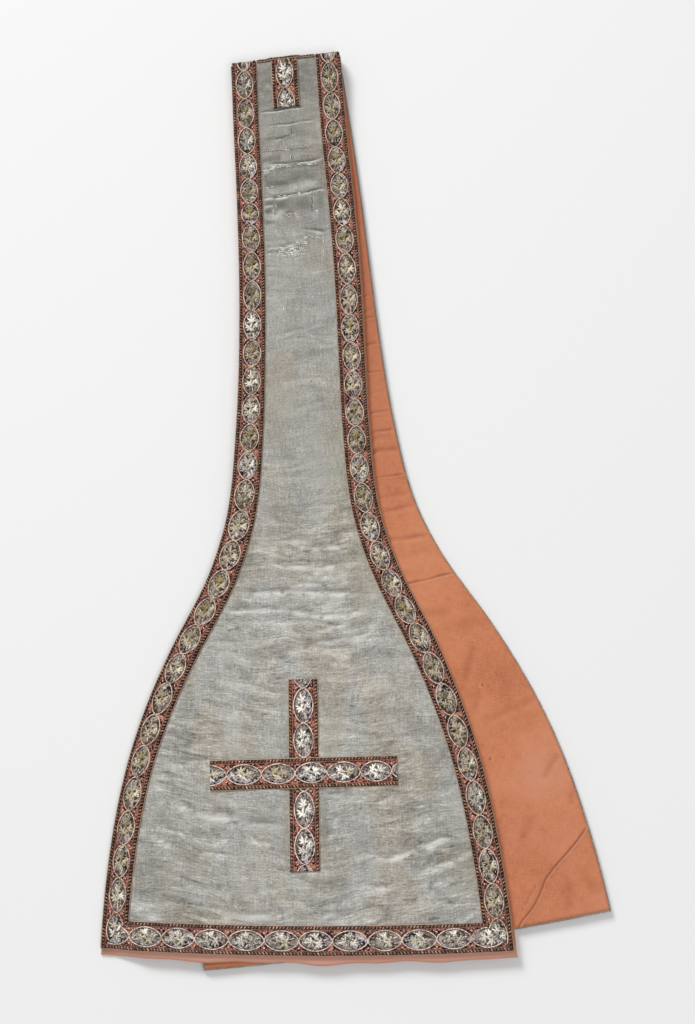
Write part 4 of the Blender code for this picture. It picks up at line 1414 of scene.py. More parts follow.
@dataclass(frozen=True)
class GalloonWeave:
    """Sizes of the galloon's pattern, in its own flat length: x across, y along, z out."""

    pitch: float = 0.01726
    width: float = 0.0148
    thick: float = 0.0006
    swell: float = 0.0048
    fullness: float = 0.55
    cord_radius: float = 0.00028
    cord_sides: int = 6
    cord_steps: int = 24
    cord_sink: float = 0.00016
    cord_swing: float = 0.00013
    rope_reach: float = 0.00080
    rope_inset: float = 0.00045
    rope_height: float = 0.00034
    rope_beads: int = 10
    leaf_points: int = 40
    leaf_core: float = 0.0011
    leaf_top: float = 0.00046
    leaf_rim: float = 0.00006
    leaf_ridge: float = 0.00026
    sunk: float = 0.0001
    stroke_height: float = 0.00026
    probe: float = 0.0001
    threads: Threads = Threads()

    def tinted(self) -> BMesh:
        """Starts a bmesh whose vertices carry a tint.

        Returns:
            The bmesh, empty.
        """
        bm = bmesh.new()
        bm.verts.layers.float_color.new(TINT)
        return bm

    def paint(self, bm: BMesh, verts: Sequence[BMVert],
              colour: Sequence[float]) -> None:
        """Tints vertices.

        Args:
            bm: their mesh.
            verts: the vertices.
            colour: their tint.
        """
        layer = bm.verts.layers.float_color[TINT]
        for vert in verts:
            vert[layer] = (*colour, 1.0)

    def bead(self, bm: BMesh, centre: Sequence[float], size: Sequence[float],
             turn: float, colour: Sequence[float]) -> None:
        """Adds one small pad of thread.

        Args:
            bm: the mesh it goes into.
            centre: its middle.
            size: its half sizes: along its own length, across it, and out.
            turn: its direction from +x, in radians.
            colour: its tint.
        """
        place = (Matrix.Translation(centre) @ Matrix.Rotation(turn, 4, 'Z')
                 @ Matrix.Diagonal((*size, 1.0)))
        made = bmesh.ops.create_icosphere(bm, subdivisions=1, radius=1.0, matrix=place)
        self.paint(bm, made["verts"], colour)

    def ropes(self) -> Mesh:
        """Makes one pitch of the twisted cords along both edges.

        Returns:
            Their mesh.
        """
        bm = self.tinted()
        draw = random.Random(5)
        step = self.pitch / self.rope_beads
        middle = self.width / 2 - self.rope_inset - self.rope_reach
        strands = ((0.25, self.threads.dark, 0.32), (0.75, self.threads.tan, 0.20))
        for side in (-1, 1):
            for index in range(self.rope_beads):
                for part, colour, wide in strands:
                    centre = (side * middle, (index + part + draw.uniform(-0.06, 0.06)) * step,
                              self.thick + self.sunk)
                    size = (self.rope_reach * draw.uniform(0.95, 1.3), step * wide, self.rope_height)
                    shade = draw.uniform(0.45, 1.45)
                    self.bead(bm, centre, size, side * draw.uniform(0.5, 0.75),
                              [shade * value for value in colour])
        return to_mesh(bm, "ropes")

    def leaf(self, bm: BMesh, draw: random.Random, place: Matrix, leaf: Leaf,
             colour: Sequence[float]) -> None:
        """Adds a leaf with ridged lobes and sunk notches.

        Args:
            bm: the mesh it goes into.
            draw: the order of draws.
            place: turns the leaf's flat shape into place.
            leaf: its middle and lobes.
            colour: its tint.
        """
        lobes = [(math.radians(heading + draw.uniform(-9.0, 9.0)),
                  reach * MM * draw.uniform(0.84, 1.12), math.radians(half),
                  draw.uniform(0.72, 1.12)) for heading, reach, half in leaf.lobes]
        made = bmesh.ops.create_circle(bm, cap_ends=True, cap_tris=True, segments=self.leaf_points,
                                       radius=1.0)["verts"]
        faces = list({face for vert in made for face in vert.link_faces})
        raised = {item for item in bmesh.ops.extrude_face_region(bm, geom=faces)["geom"]
                  if isinstance(item, BMVert)}
        whole = list(raised | set(made))
        faces = list({face for vert in whole for face in vert.link_faces})
        bmesh.ops.recalc_face_normals(bm, faces=faces)
        for vert in whole:
            turn = math.atan2(vert.co.x, vert.co.y)
            near = []
            for heading, reach, half, shade in lobes:
                gap = abs(math.remainder(turn - heading, 2.0 * math.pi))
                part = max(0.0, 1.0 - gap / half)
                near.append((self.leaf_core + (reach - self.leaf_core) * part ** 0.85, part, shade))
            far, part, shade = max(near)
            middle = vert.co.xy.length < 0.5
            far = 0.0 if middle else far
            height = self.leaf_top if middle else self.leaf_rim + self.leaf_ridge * part
            vert.co = place @ Vector((leaf.across * MM + far * math.sin(turn),
                                      leaf.along * MM + far * math.cos(turn),
                                      self.thick + (height if vert in raised else -self.sunk)))
            # Painted shade towards the notches between lobes, lighter at the tips.
            shade *= 0.95 if middle else 0.55 + 0.60 * part
            self.paint(bm, [vert], [shade * value for value in colour])

    def sprig(self, kind: Sprig, seed: int) -> Mesh:
        """One oval's sprig of three leaves with sprays at both ends, centred on the origin.

        Args:
            kind: its colouring.
            seed: starts its order of draws.

        Returns:
            Its mesh.
        """
        draw = random.Random(seed)
        bm = self.tinted()
        upper, lower, vein = self.threads.leaf(kind)
        lean = draw.uniform(-0.12, 0.12)
        place = Matrix.Rotation(-lean, 4, 'Z')
        for leaf, colour in zip(LEAVES, (upper, lower, draw.choice((upper, lower)))):
            self.leaf(bm, draw, place, leaf, colour)

        def stroke(row: Sequence[float], wide: float, colour: Sequence[float],
                   rise: float = 0.0) -> None:
            """Adds a thread.

            Args:
                row: across, along and length in mm, and its turn from +y in degrees.
                wide: its width in mm.
                colour: its tint.
                rise: how far it stands above the ground, in mm.
            """
            across, along, length, turn = row
            middle = place @ Vector((across * MM, along * MM, self.thick + rise * MM))
            self.bead(bm, middle, (length / 2 * MM, wide / 2 * MM, self.stroke_height),
                      math.pi / 2 - lean - math.radians(turn), colour)

        stroke(STALK, 0.55, lower)
        for row in VEINS:
            stroke(row, 0.34, vein, 0.26)
        for *row, wide in SILVER_STROKES:
            stroke(row, wide, self.threads.silver)
        for rows, loose, wide, colour in ((LILAC_STROKES, 12.0, 0.95, self.threads.lilac),
                                          (DARK_STROKES, 15.0, 0.62, self.threads.shade)):
            for across, along, length, turn in rows:
                stroke((across, along, length, turn + draw.uniform(-loose, loose)), wide, colour)
        for across, along in SILVER_TICKS:
            stroke((across + draw.uniform(-0.4, 0.4), along + draw.uniform(-0.5, 0.5), 1.5,
                    draw.uniform(-60.0, 60.0)), 0.50, self.threads.silver)
        return to_mesh(bm, "sprig")

    def dots(self) -> Mesh:
        """Makes the small pads beside one crossing of the chain, which is at the origin.

        Returns:
            Their mesh.
        """
        bm = self.tinted()
        z = self.thick + self.sunk / 2
        upright = math.pi / 2
        for side in (-1, 1):
            self.bead(bm, (side * 0.0036, 0.0, z), (0.00070, 0.00042, 0.0004), upright + side * 0.5,
                      self.threads.dot)
            for up in (-1, 1):
                self.bead(bm, (side * 0.0044, up * 0.0013, z), (0.00045, 0.00022, 0.00025),
                          upright - side * up * 0.4, self.threads.dot)
                self.bead(bm, (side * 0.0047, up * 0.0026, z), (0.0007, 0.00020, 0.00022),
                          upright - side * up * 0.35, self.threads.red)
        return to_mesh(bm, "dots")

    def cords(self, bm: BMesh, start: float, end: float) -> None:
        """Adds the two cords of the chain, which cross at every whole pitch.

        Args:
            bm: the mesh they go into.
            start: where they start along the galloon.
            end: where they end.
        """
        count = max(2, int(round((end - start) / self.pitch * self.cord_steps)))
        for strand in (-1, 1):
            tube = self.tinted()
            bmesh.ops.create_cone(tube, cap_ends=True, cap_tris=False, segments=self.cord_sides,
                                  radius1=self.cord_radius, radius2=self.cord_radius, depth=1.0)
            bmesh.ops.rotate(tube, verts=tube.verts[:], matrix=Matrix.Rotation(-math.pi / 2, 3, 'X'))
            long_edges = [edge for edge in tube.edges
                          if abs(edge.verts[0].co.y - edge.verts[1].co.y) > 0.5]
            bmesh.ops.subdivide_edges(tube, edges=long_edges, cuts=count - 1, use_grid_fill=True)
            for vert in tube.verts:
                y = start + (vert.co.y + 0.5) * (end - start)
                here, after = self.strand_at(y - self.probe), self.strand_at(y + self.probe)
                slope = strand * (after - here) / (2.0 * self.probe)
                size = math.sqrt(1.0 + slope * slope)
                swing = strand * self.cord_swing * math.cos(y * math.pi / self.pitch)
                out = self.thick + self.cord_sink + swing
                vert.co = Vector((strand * (here + after) / 2 + vert.co.x / size,
                                  y - vert.co.x * slope / size, vert.co.z + out))
            self.paint(tube, tube.verts[:], self.threads.cord)
            mesh = to_mesh(tube, "cord")
            bm.from_mesh(mesh)
            bpy.data.meshes.remove(mesh)

    def strand_at(self, y: float) -> float:
        """How far one cord swings from the middle at y."""
        wave = math.sin(y * math.pi / self.pitch)
        return math.copysign(self.swell * abs(wave) ** self.fullness, wave)


@dataclass
class LooseThreads:
    """Broken and loose threads below the neck, and the holes of an old row of stitches."""

    silk: SilkPanel
    weave: GalloonWeave
    thread: Material
    pale: Triple = (0.820, 0.820, 0.780)
    shadow: Triple = (0.060, 0.055, 0.045)
    frayed: tuple[float, float] = (0.00020, 0.00045)
    single: tuple[float, float] = (0.00017, 0.00040)
    hole: Triple = (0.00032, 0.00026, 0.00036)
    holes: int = 26
    hole_start: float = -16.4
    hole_gap: float = 1.15
    hole_place: float = 55.3
    seam: tuple[float, float] = (-2.0, 1.4)
    worn: Rows = (
        # from fold, left, right, spread along, how many, usual half length
        (116.9, -17, -8, 1.5, 24, 1.2), (115.8, -10, 4, 1.2, 36, 1.6),
        (118.9, -8.5, 0.5, 1.3, 26, 1.7), (112.6, -3, 6, 1, 14, 1.3),
        (109.5, 4, 12.5, 1.8, 14, 0.9), (65.4, -10, 4, 0.8, 22, 1.5),
        (65.2, 4, 14.5, 0.8, 18, 1.2), (66.5, -16.5, -11, 1.2, 12, 0.9),
        (83.3, -12, 2, 0.4, 16, 1.6), (82.9, 1, 14, 0.7, 20, 1.2),
        (95.5, -6, 6, 1.4, 14, 0.8), (95, 8, 14, 1.6, 8, 0.8),
        (55.4, -4.5, -1, 0.3, 3, 0.9), (78.5, -15.5, -12, 2.2, 7, 0.9))
    upright: Rows = (
        # across, from, to, how pale, or 0 for dark
        (-2.7, 48.6, 55.8, 0.7), (-0.8, 58.8, 62.2, 1), (-0.2, 59, 62, 0), (9.5, 84.8, 90, 0),
        (9, 89.5, 95.2, 0), (10.5, 84.8, 89.4, 1), (10.2, 89, 93.4, 1), (-12.8, 89.6, 93.5, 1),
        (-12.9, 93, 97.2, 1), (-11.1, 87.9, 90.6, 1), (0.8, 40.9, 45.6, 0), (14.4, 109.4, 115, 1),
        (13.9, 116, 121.6, 1), (-12.2, 149.4, 152.9, 1), (-9.6, 149.2, 152.4, 1),
        (-1.3, 150.2, 152.2, 1), (-0.1, 137.8, 139.6, 1), (10.3, 141.8, 144, 1),
        (-4.6, 195.2, 197.8, 1), (5, 193, 194.4, 0))

    def build(self) -> Object:
        """Makes the threads as one piece.

        Returns:
            The piece.
        """
        bm, draw = self.weave.tinted(), random.Random(77)
        cloth, top = self.silk.cloth, self.silk.cloth.silk_out
        for place, left, right, spread, count, long in self.worn:
            for _ in range(count):
                centre = (draw.uniform(left, right) * MM,
                          -(place + draw.uniform(-spread, spread)) * MM, top)
                size = (long * draw.uniform(0.5, 1.4) * MM, *self.frayed)
                shade = draw.uniform(0.75, 1.15)
                self.weave.bead(bm, centre, size, draw.uniform(-0.14, 0.20),
                                [shade * value for value in self.pale])
        for across, start, end, pale in self.upright:
            centre = (across * MM, -(start + end) / 2 * MM, top)
            colour = [pale * value for value in self.pale] if pale else self.shadow
            self.weave.bead(bm, centre, ((end - start) / 2 * MM, *self.single), math.pi / 2 + 0.03,
                            colour)
        for index in range(self.holes):
            across = self.hole_start + self.hole_gap * index
            if abs(across - self.seam[0]) > self.seam[1]:
                centre = (across * MM, -(self.hole_place + 0.25 * math.sin(across)) * MM, top)
                self.weave.bead(bm, centre, self.hole, 0.0, self.shadow)
        mesh = to_mesh(bm, "loose_threads")
        flat = points_of(mesh)
        flat[:, 2] += self.silk.relief(flat[:, 0], flat[:, 1])[0]
        set_points(mesh, cloth.lay(flat))
        piece = link_piece("loose_threads", mesh, self.thread)
        return piece


@dataclass
class Galloon:
    """One length of galloon: a woven ribbon, and the raised threads on it.

    It is made with its crossings one pitch apart; nodes then says where they really lie. The letters
    of kinds say how the sprigs are coloured, from the start on.
    """

    name: str
    node: str
    ground: Material
    weave: GalloonWeave
    start: float
    end: float
    nodes: Sequence[float]
    width: float
    path: Callable[[Array], Array]
    lay: Callable[[Array], Array]
    kinds: str
    cuts: Sequence[tuple[tuple[float, float], tuple[float, float]]] = ()
    seed: int = 1
    turned: bool = False
    row: float = 0.0012
    columns: int = 8
    crown: float = 0.45
    lowest: float = 0.0003

    def __post_init__(self) -> None:
        """Extends the nodes past both ends and finds the ends in pitches."""
        pitch, nodes = self.weave.pitch, sorted(self.nodes)
        while nodes[0] > self.start - pitch:
            nodes.insert(0, nodes[0] - pitch)
        while nodes[-1] < self.end + pitch:
            nodes.append(nodes[-1] + pitch)
        self.real = np.array(nodes)
        self.even = np.arange(len(nodes)) * pitch
        self.first, self.last = np.interp((self.start, self.end), self.real, self.even)

    def ribbon(self) -> BMesh:
        """Makes the woven ribbon, a little crowned.

        Returns:
            It, flat and with its map.
        """
        bm = thick_grid(self.columns, max(2, int(round((self.last - self.first) / self.row))))
        layer = bm.loops.layers.uv.new(RIBBON_UV)
        for vert in bm.verts:
            x, y = vert.co.x, vert.co.y
            crown = self.weave.thick * (1.0 - self.crown * (2.0 * abs(x)) ** 6)
            vert.co = Vector((x * self.width, self.first + (y + 0.5) * (self.last - self.first),
                              crown if vert.co.z > 0.5 else 0.0))
        for face in bm.faces:
            for loop in face.loops:
                loop[layer].uv = loop.vert.co.xy
        return bm

    def raised_work(self) -> BMesh:
        """Makes the cords, leaf sprigs, dots and edge ropes.

        Returns:
            Them, flat.
        """
        weave, draw = self.weave, random.Random(self.seed)
        bm = weave.tinted()
        weave.cords(bm, self.first, self.last)
        ropes, dots = weave.ropes(), weave.dots()
        sprigs = {letter: [weave.sprig(Sprig(letter), 10 * ord(letter) + part) for part in range(2)]
                  for letter in sorted(set(self.kinds))}
        scale = self.width / weave.width
        for index in range(int(self.first // weave.pitch), int(self.last // weave.pitch) + 1):
            node = index * weave.pitch
            flip = Matrix.Rotation(math.pi * self.turned + draw.uniform(-0.10, 0.10), 4, 'Z')
            wide = Matrix.Diagonal((scale, 1.0, 1.0, 1.0))
            middle = node + weave.pitch / 2
            place = int(max(0.0, middle - self.first) // weave.pitch)
            letter = self.kinds[place % len(self.kinds)]
            for mesh, y, turn in ((ropes, node, wide), (dots, node, wide),
                                  (draw.choice(sprigs[letter]), middle, flip)):
                count = len(bm.verts)
                bm.from_mesh(mesh)
                bm.verts.ensure_lookup_table()
                bmesh.ops.transform(bm, matrix=Matrix.Translation((0.0, y, 0.0)) @ turn,
                                    verts=bm.verts[count:])
        for mesh in (ropes, dots, *sum(sprigs.values(), [])):
            bpy.data.meshes.remove(mesh)
        self.trim(bm, (0.0, self.first), (0.0, -1.0))
        self.trim(bm, (0.0, self.last), (0.0, 1.0))
        return bm

    def trim(self, bm: BMesh, point: Sequence[float], beyond: Sequence[float]) -> None:
        """Cuts away what lies beyond an upright plane and closes the cut.

        Args:
            bm: the mesh.
            point: x and y of a point of the plane.
            beyond: x and y of its normal, towards what goes.
        """
        geometry = bm.verts[:] + bm.edges[:] + bm.faces[:]
        bmesh.ops.bisect_plane(bm, geom=geometry, dist=1e-7, plane_co=(*point, 0.0),
                               plane_no=(*beyond, 0.0), clear_outer=True)
        rims = [edge for edge in bm.edges if edge.is_boundary]
        bmesh.ops.holes_fill(bm, edges=rims, sides=0)

    def finish(self, bm: BMesh, name: str, look: Material) -> Object:
        """Bends the flat galloon along its path, cuts its mitres and lays it.

        Args:
            bm: the flat mesh, which is freed.
            name: the piece's name.
            look: its finish.

        Returns:
            The piece.
        """
        flat = np.array([vert.co[:] for vert in bm.verts])
        flat[:, 1] = np.interp(flat[:, 1], self.even, self.real)
        for vert, place in zip(bm.verts, self.path(flat)):
            vert.co = place
        for point, beyond in self.cuts:
            self.trim(bm, point, beyond)
        mesh = to_mesh(bm, name)
        laid, low = self.lay(points_of(mesh)), self.lowest
        pressed = low * np.exp(np.minimum(laid[:, 2] / low, 1.0) - 1.0)
        laid[:, 2] = np.where(laid[:, 2] < low, pressed, laid[:, 2])
        set_points(mesh, laid)
        return link_piece(name, mesh, look)

    def build(self, thread: Material) -> list[Object]:
        """Makes the ribbon, which stands for its solid, and its raised work.

        Args:
            thread: the raised threads' finish.

        Returns:
            The ribbon and the work.
        """
        ribbon = self.finish(self.ribbon(), self.name, self.ground)
        work = self.finish(self.raised_work(), self.name + "_work", thread)
        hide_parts(self.node)
        return [ribbon, work]


@dataclass
class GalloonTrim:
    """All the galloon: both sides, both hems and the three crosses."""

    cloth: LaidCloth
    thread: Material
    weave: GalloonWeave = GalloonWeave()
    hem_weave: GalloonWeave = GalloonWeave(threads=Threads(
        cord=(0.78, 0.66, 0.55), light=(0.82, 0.77, 0.67), cream=(0.67, 0.61, 0.48),
        silver=(0.62, 0.60, 0.56), dark=(0.060, 0.036, 0.030), tan=(0.52, 0.33, 0.21)))
    wide_weave: GalloonWeave = GalloonWeave(
        width=0.0158, swell=0.0051, fullness=0.54,
        threads=Threads(cord=(0.84, 0.70, 0.60), white=(0.97, 0.93, 0.85),
                        dark=(0.060, 0.036, 0.028), tan=(0.56, 0.36, 0.23)))
    base: float = 0.00285
    side_spare: float = 0.004
    side_margin: float = 0.001
    side_marks: int = 1401
    hem_reach: float = 0.107
    left_nodes: Sequence[float] = (
        4.75, 21.4, 39.6, 56, 71.5, 86.3, 99.6, 116.3, 133.8, 151.3, 168.8, 184.4, 200.9, 217.3,
        232.8, 248.8, 265.9, 283.1, 300, 316.9, 333.1, 350, 366.9, 384.4, 401.3, 418.1, 435.6,
        452.9, 469.4, 486.9)
    right_nodes: Sequence[float] = (
        5.25, 22.9, 40, 56.9, 72.8, 88.1, 104.4, 121, 138.8, 156.3, 172.5, 189, 204.8, 220.3,
        235.9, 252.1, 268.5, 285, 301.3, 316.9, 333.1, 350.3, 368.1, 385.6, 403.1, 420.4, 437.9,
        454.8, 471.9, 489)
    hem_nodes: Sequence[float] = (-88.9, -73.25, -56.6, -39.5, -21.4, -3.9, 13, 31.1, 48.25, 65.9,
                                  83.6)
    upright_nodes: Sequence[float] = (43.9, 25.75, 8, -9.25, -28, -46.1)
    bar_nodes: Sequence[float] = (-40.1, -22, -4.5, 12.1, 29.25, 45.5)
    neck_nodes: Sequence[float] = (-17.3, 0.5, 18)
    cross_from_hem: float = 0.0882
    upright: float = 0.0980
    upright_above: float = 0.0485
    bar: float = 0.0970
    cross_lean: float = 1.0
    cross_slope: float = 1.6
    climb: float = 0.0040
    climb_edge: float = 0.0004
    upper_climb: float = 0.0009
    under_climb: float = 0.0003
    neck_arm: float = 0.0290
    neck_shift: float = -0.0012
    bar_wrap: float = 0.16
    bar_gap: float = 0.0002
    bar_climb: float = 0.0022
    bar_rise: float = 0.0005
    mitre_gap: float = 0.00014
    mitre_over: float = 1.25

    def __post_init__(self) -> None:
        """Makes the grounds: of the sides, of the hems and of the crosses."""
        self.ground, self.hem_ground, self.wide_ground = (
            GalloonGround(weave.pitch, weave.swell, weave.width / 2, weave.fullness, *colours).make(name)
            for name, weave, *colours in (
                ("galloon_ground", self.weave,
                 (0.245, 0.102, 0.080), (0.360, 0.250, 0.190), (0.150, 0.108, 0.098)),
                ("hem_ground", self.weave,
                 (0.255, 0.112, 0.095), (0.420, 0.320, 0.260), (0.235, 0.198, 0.215)),
                ("wide_ground", self.wide_weave,
                 (0.320, 0.124, 0.088), (0.450, 0.330, 0.230), (0.235, 0.198, 0.222))))

    def along_side(self, side: int) -> tuple[Callable[[Array], Array], float]:
        """The path of a side galloon.

        Args:
            side: -1 for the left edge and 1 for the right.

        Returns:
            The path, and the length of half of it.
        """
        cloth, reach = self.cloth, self.cloth.half_length + self.side_spare
        along = np.linspace(-reach, reach, self.side_marks)
        wide = cloth.half_width(np.abs(along))
        across = side * (wide - cloth.galloon_span(np.abs(along)) / 2)
        walked = np.concatenate([[0.0], np.cumsum(np.hypot(np.diff(across), np.diff(along)))])
        walked -= walked[len(walked) // 2]
        tangent = np.stack([np.gradient(across, walked), np.gradient(along, walked)])
        tangent /= np.linalg.norm(tangent, axis=0)

        def path(flat: Array) -> Array:
            """Bends a flat length along the edge.

            Args:
                flat: its points, one a row.

            Returns:
                Their places in the flat cloth.
            """
            x, y, z = flat.T
            tx, ty = (np.interp(y, walked, row) for row in tangent)
            return np.stack([np.interp(y, walked, across) + x * ty,
                             np.interp(y, walked, along) - x * tx, z + self.base], axis=1)

        return path, walked[-1]

    def mitre(self, side: int, end: int,
              keep_side: bool) -> tuple[tuple[float, float], tuple[float, float]]:
        """The cut at one corner of a hem.

        Args:
            side: -1 for the left corner and 1 for the right.
            end: -1 for the upper hem and 1 for the lower.
            keep_side: cut the side galloon, or the hem's.

        Returns:
            A point of the cut and its normal, towards what goes.
        """
        cloth, length = self.cloth, np.array(self.cloth.half_length)
        low = length - cloth.galloon_width
        outer = np.array([side * float(cloth.half_width(length)), end * length])
        inner = np.array([side * float(cloth.half_width(low) - cloth.galloon_span(low)), end * low])
        run = outer - inner
        normal = np.array([run[1], -run[0]]) / np.linalg.norm(run)
        towards_hem = np.array([0.0, float(end)])
        if (normal @ towards_hem > 0.0) != keep_side:
            normal = -normal
        point = outer - normal * self.mitre_gap * (self.mitre_over if side > end else 1.0)
        return tuple(point), tuple(normal)

    def sides(self) -> Iterator[Galloon]:
        """Plans both side galloons.

        Returns:
            Their lengths, one by one.
        """
        for side, node, marks, kinds, seed in (
                (-1, "galloon_left", self.left_nodes, "SMOOCGCOCOGGCCCSGMMOWOGGGOMSGS", 21),
                (1, "galloon_right", self.right_nodes, "WCCCSCCOOCGCCMGCGOCCGCCGMCGOOO", 22)):
            path, reach = self.along_side(side)
            cuts = [self.mitre(side, end, True) for end in (-1, 1)]
            yield Galloon(node + "_ribbon", node, self.ground, self.weave, -reach + self.side_margin,
                          reach - self.side_margin, [-mark * MM for mark in marks],
                          self.cloth.galloon_width, path, self.cloth.lay, kinds, cuts, seed)

    def hems(self) -> Iterator[Galloon]:
        """Plans both hem galloons.

        Returns:
            Their lengths, one by one.
        """
        cloth = self.cloth
        for end, node, seed in ((-1, "hem_upper", 31), (1, "hem_under", 32)):
            middle = end * (cloth.half_length - cloth.galloon_width / 2)

            def path(flat: Array, middle: float = middle, end: int = end) -> Array:
                """Turns a flat length along the hem, from points to places in the flat cloth."""
                x, y, z = flat.T
                return np.stack([y, middle - x, z + self.base], axis=1)

            cuts = [self.mitre(side, end, False) for side in (-1, 1)]
            yield Galloon(node + "_ribbon", node, self.hem_ground, self.hem_weave, -self.hem_reach,
                          self.hem_reach, [mark * MM for mark in self.hem_nodes],
                          cloth.galloon_width, path, cloth.lay, "MCCMWCWMCCCM", cuts, seed, True)

    def neck(self) -> Iterator[Galloon]:
        """Plans the cross on the fold: its arm down both halves, and its bar along the fold.

        Returns:
            Their lengths, one by one.
        """
        cloth, wide = self.cloth, self.wide_weave.width

        def arm(flat: Array) -> Array:
            """Runs a flat length down the strip."""
            return flat + np.array([self.neck_shift, 0.0, self.base])

        def bar(flat: Array) -> Array:
            """Runs a flat length along the fold, which its width wraps round.

            Args:
                flat: its points, one a row.

            Returns:
                Their places in the flat cloth.
            """
            x, y, z = flat.T
            past = wide / 2 + self.bar_climb - np.abs(y - self.neck_shift)
            lift = ease(past / self.bar_climb) * self.bar_rise
            return np.stack([y, -x * self.bar_wrap, z + self.base + lift], axis=1)

        reach = float(cloth.half_width(np.array(0.0))) - cloth.galloon_width - self.bar_gap
        for name, end, marks, path, kinds, seed in (
                ("neck_arm_ribbon", self.neck_arm, self.neck_nodes, arm, "W", 41),
                ("neck_bar_ribbon", reach, (0.0,), bar, "S", 42)):
            yield Galloon(name, "neck_cross", self.ground, self.weave, -end, end,
                          [mark * MM for mark in marks], wide, path, cloth.lay, kinds, (), seed)

    def crosses(self) -> Iterator[Galloon]:
        """Plans the crosses on both ends.

        Returns:
            Their lengths, one by one.
        """
        cloth, wide = self.cloth, self.wide_weave.width
        for upper, tag, nodes, seeds in ((True, "upper", ("cross_upright", "cross_bar"), (51, 53)),
                                         (False, "under", ("cross_under", "cross_under"), (55, 57))):
            from_fold = np.array(cloth.half_length - self.cross_from_hem)
            centre = cloth.plan(upper, from_fold, np.array(0.0))
            turn = float(cloth.under_lay.at(from_fold, "row_slope"))
            slope = math.radians(self.cross_slope if upper else turn)
            lean = math.radians(self.cross_lean if upper else turn)
            bar = np.array([math.cos(slope), math.sin(slope)])
            upright = np.array([-math.sin(lean), math.cos(lean)])
            low = cloth.stack + cloth.seam_gap + self.base if upper else cloth.stack - self.base
            out = 1.0 if upper else -1.0

            def place(flat: Array, run: Array, over: float, centre: Array = centre,
                      low: float = low, out: float = out) -> Array:
                """Lays a straight length on the flat end, humped where it goes over another.

                Args:
                    flat: its points, one a row.
                    run: its direction in plan.
                    over: the hump's height.
                    centre: the cross's middle in plan.
                    low: height of the cloth's face.
                    out: 1 for the upper half's face, -1 for the lower one's.

                Returns:
                    The points' places.
                """
                x, y, z = flat.T
                side = np.array([run[1], -run[0]]) * out
                edge = wide / 2 + self.climb_edge
                hump = over * ease((edge + self.climb - np.abs(y)) / self.climb)
                plan = centre[:, None] + run[:, None] * y + side[:, None] * x
                return np.stack([plan[0], plan[1], low + out * (z + hump)], axis=1)

            over = self.upper_climb if upper else self.under_climb
            runs = (("upright", upright, self.upright_above - self.upright, self.upright_above, 0.0,
                     self.upright_nodes, "W"),
                    ("bar", bar, -self.bar / 2, self.bar / 2, over, self.bar_nodes, "MCWMWC"))
            for (word, run, start, end, rise, marks, kinds), node, seed in zip(runs, nodes, seeds):
                yield Galloon(f"cross_{tag}_{word}_ribbon", node, self.wide_ground, self.wide_weave,
                              start, end, [mark * MM for mark in marks], wide, lambda flat: flat,
                              lambda flat, run=run, rise=rise, place=place: place(flat, run, rise),
                              kinds, (), seed)

    def build(self) -> list[Object]:
        """Makes every length of galloon."""
        lengths = (*self.sides(), *self.hems(), *self.neck(), *self.crosses())
        return [piece for length in lengths for piece in length.build(self.thread)]


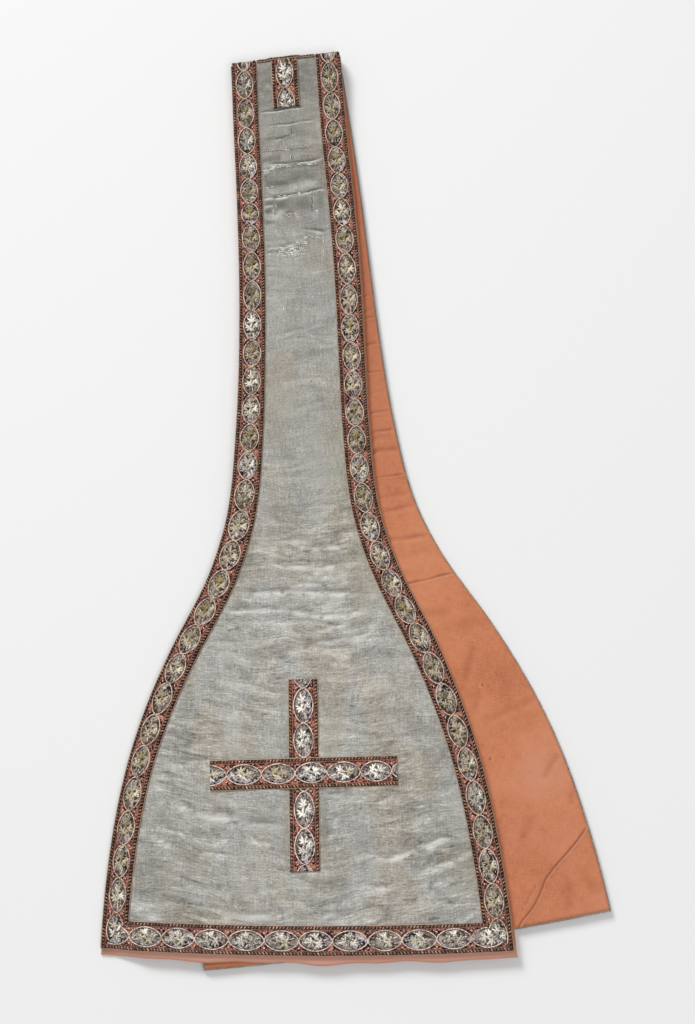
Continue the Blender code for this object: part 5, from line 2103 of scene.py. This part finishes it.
# ---------------------------------------------------------------------------- room
@dataclass
class Studio:
    """A plain pale table, soft light from above and the camera."""

    aim: Triple = (-0.00464, -0.01686, 0.0)
    distance: float = 0.80
    tilt: float = 12.5
    lens: float = 51.75
    table_half: float = 3.0
    table_sink: float = 0.0002
    table_grey: float = 0.74
    room_light: float = 0.42
    lamps: Sequence[tuple[str, Triple, float, float]] = (
        # name, place, size, watts
        ("window", (-1.3, 2.1, 2.0), 1.1, 84.0), ("fill", (0.5, -1.5, 2.2), 1.2, 24.0))

    def camera(self) -> None:
        """Sets the camera over the hems, looking a little towards the fold."""
        data = bpy.data.cameras.new("camera")
        data.lens = self.lens
        data.sensor_width = 36.0
        data.clip_start = 0.01
        camera = link("camera", data)
        tilt = math.radians(self.tilt)
        camera.location = (self.aim[0], self.aim[1] - self.distance * math.sin(tilt),
                           self.aim[2] + self.distance * math.cos(tilt))
        camera.rotation_euler = (tilt, 0.0, 0.0)
        bpy.context.scene.camera = camera

    def lamp(self, name: str, place: Sequence[float], size: float, power: float) -> None:
        """Adds one square soft light that faces the cloth.

        Args:
            name: its name.
            place: where it hangs.
            size: its side.
            power: in watts.
        """
        data = bpy.data.lights.new(name, 'AREA')
        data.size = size
        data.energy = power
        lamp = link(name, data)
        lamp.location = place
        lamp.rotation_euler = (Vector(self.aim) - Vector(place)).to_track_quat('-Z', 'Y').to_euler()

    def table(self) -> None:
        """Lays the pale surface."""
        bm = bmesh.new()
        bmesh.ops.create_grid(bm, x_segments=2, y_segments=2, size=self.table_half)
        mesh = to_mesh(bm, "table_top")
        looks = Looks("pale_table", 0.9, 0.1)
        looks.shader.inputs["Base Color"].default_value = (*(3 * [self.table_grey]), 1.0)
        mesh.materials.append(looks.material)
        top = link("table_top", mesh)
        top.location.z = -self.table_sink

    def build(self) -> None:
        """Sets up the room."""
        scene = bpy.context.scene
        scene.view_settings.view_transform = 'Standard'
        world = bpy.data.worlds.new("room")
        scene.world = world
        world.use_nodes = True
        colour, strength = world.node_tree.nodes["Background"].inputs[:2]
        colour.default_value = (1.0, 1.0, 1.0, 1.0)
        strength.default_value = self.room_light
        self.camera()
        self.table()
        for lamp in self.lamps:
            self.lamp(*lamp)


def main() -> None:
    """Dresses the maniple."""
    logging.basicConfig(level=logging.INFO, format="%(name)s: %(message)s")
    Studio().build()
    cloth = LaidCloth()
    panel = SilkPanel(cloth, SilkFinish().make())
    silk = panel.build()
    lining = LiningPanel(cloth, LiningFinish().make()).build()
    thread = ThreadFinish().make()
    loose = LooseThreads(panel, GalloonWeave(), thread).build()
    trims = GalloonTrim(cloth, thread).build()
    for piece in (silk, lining, loose, *trims):
        LOG.info("%s: %d faces", piece.name, len(piece.data.polygons))
    flat, area = cloth.flat_size(), cloth.flat_area()


if __name__ == "__main__":
    main()
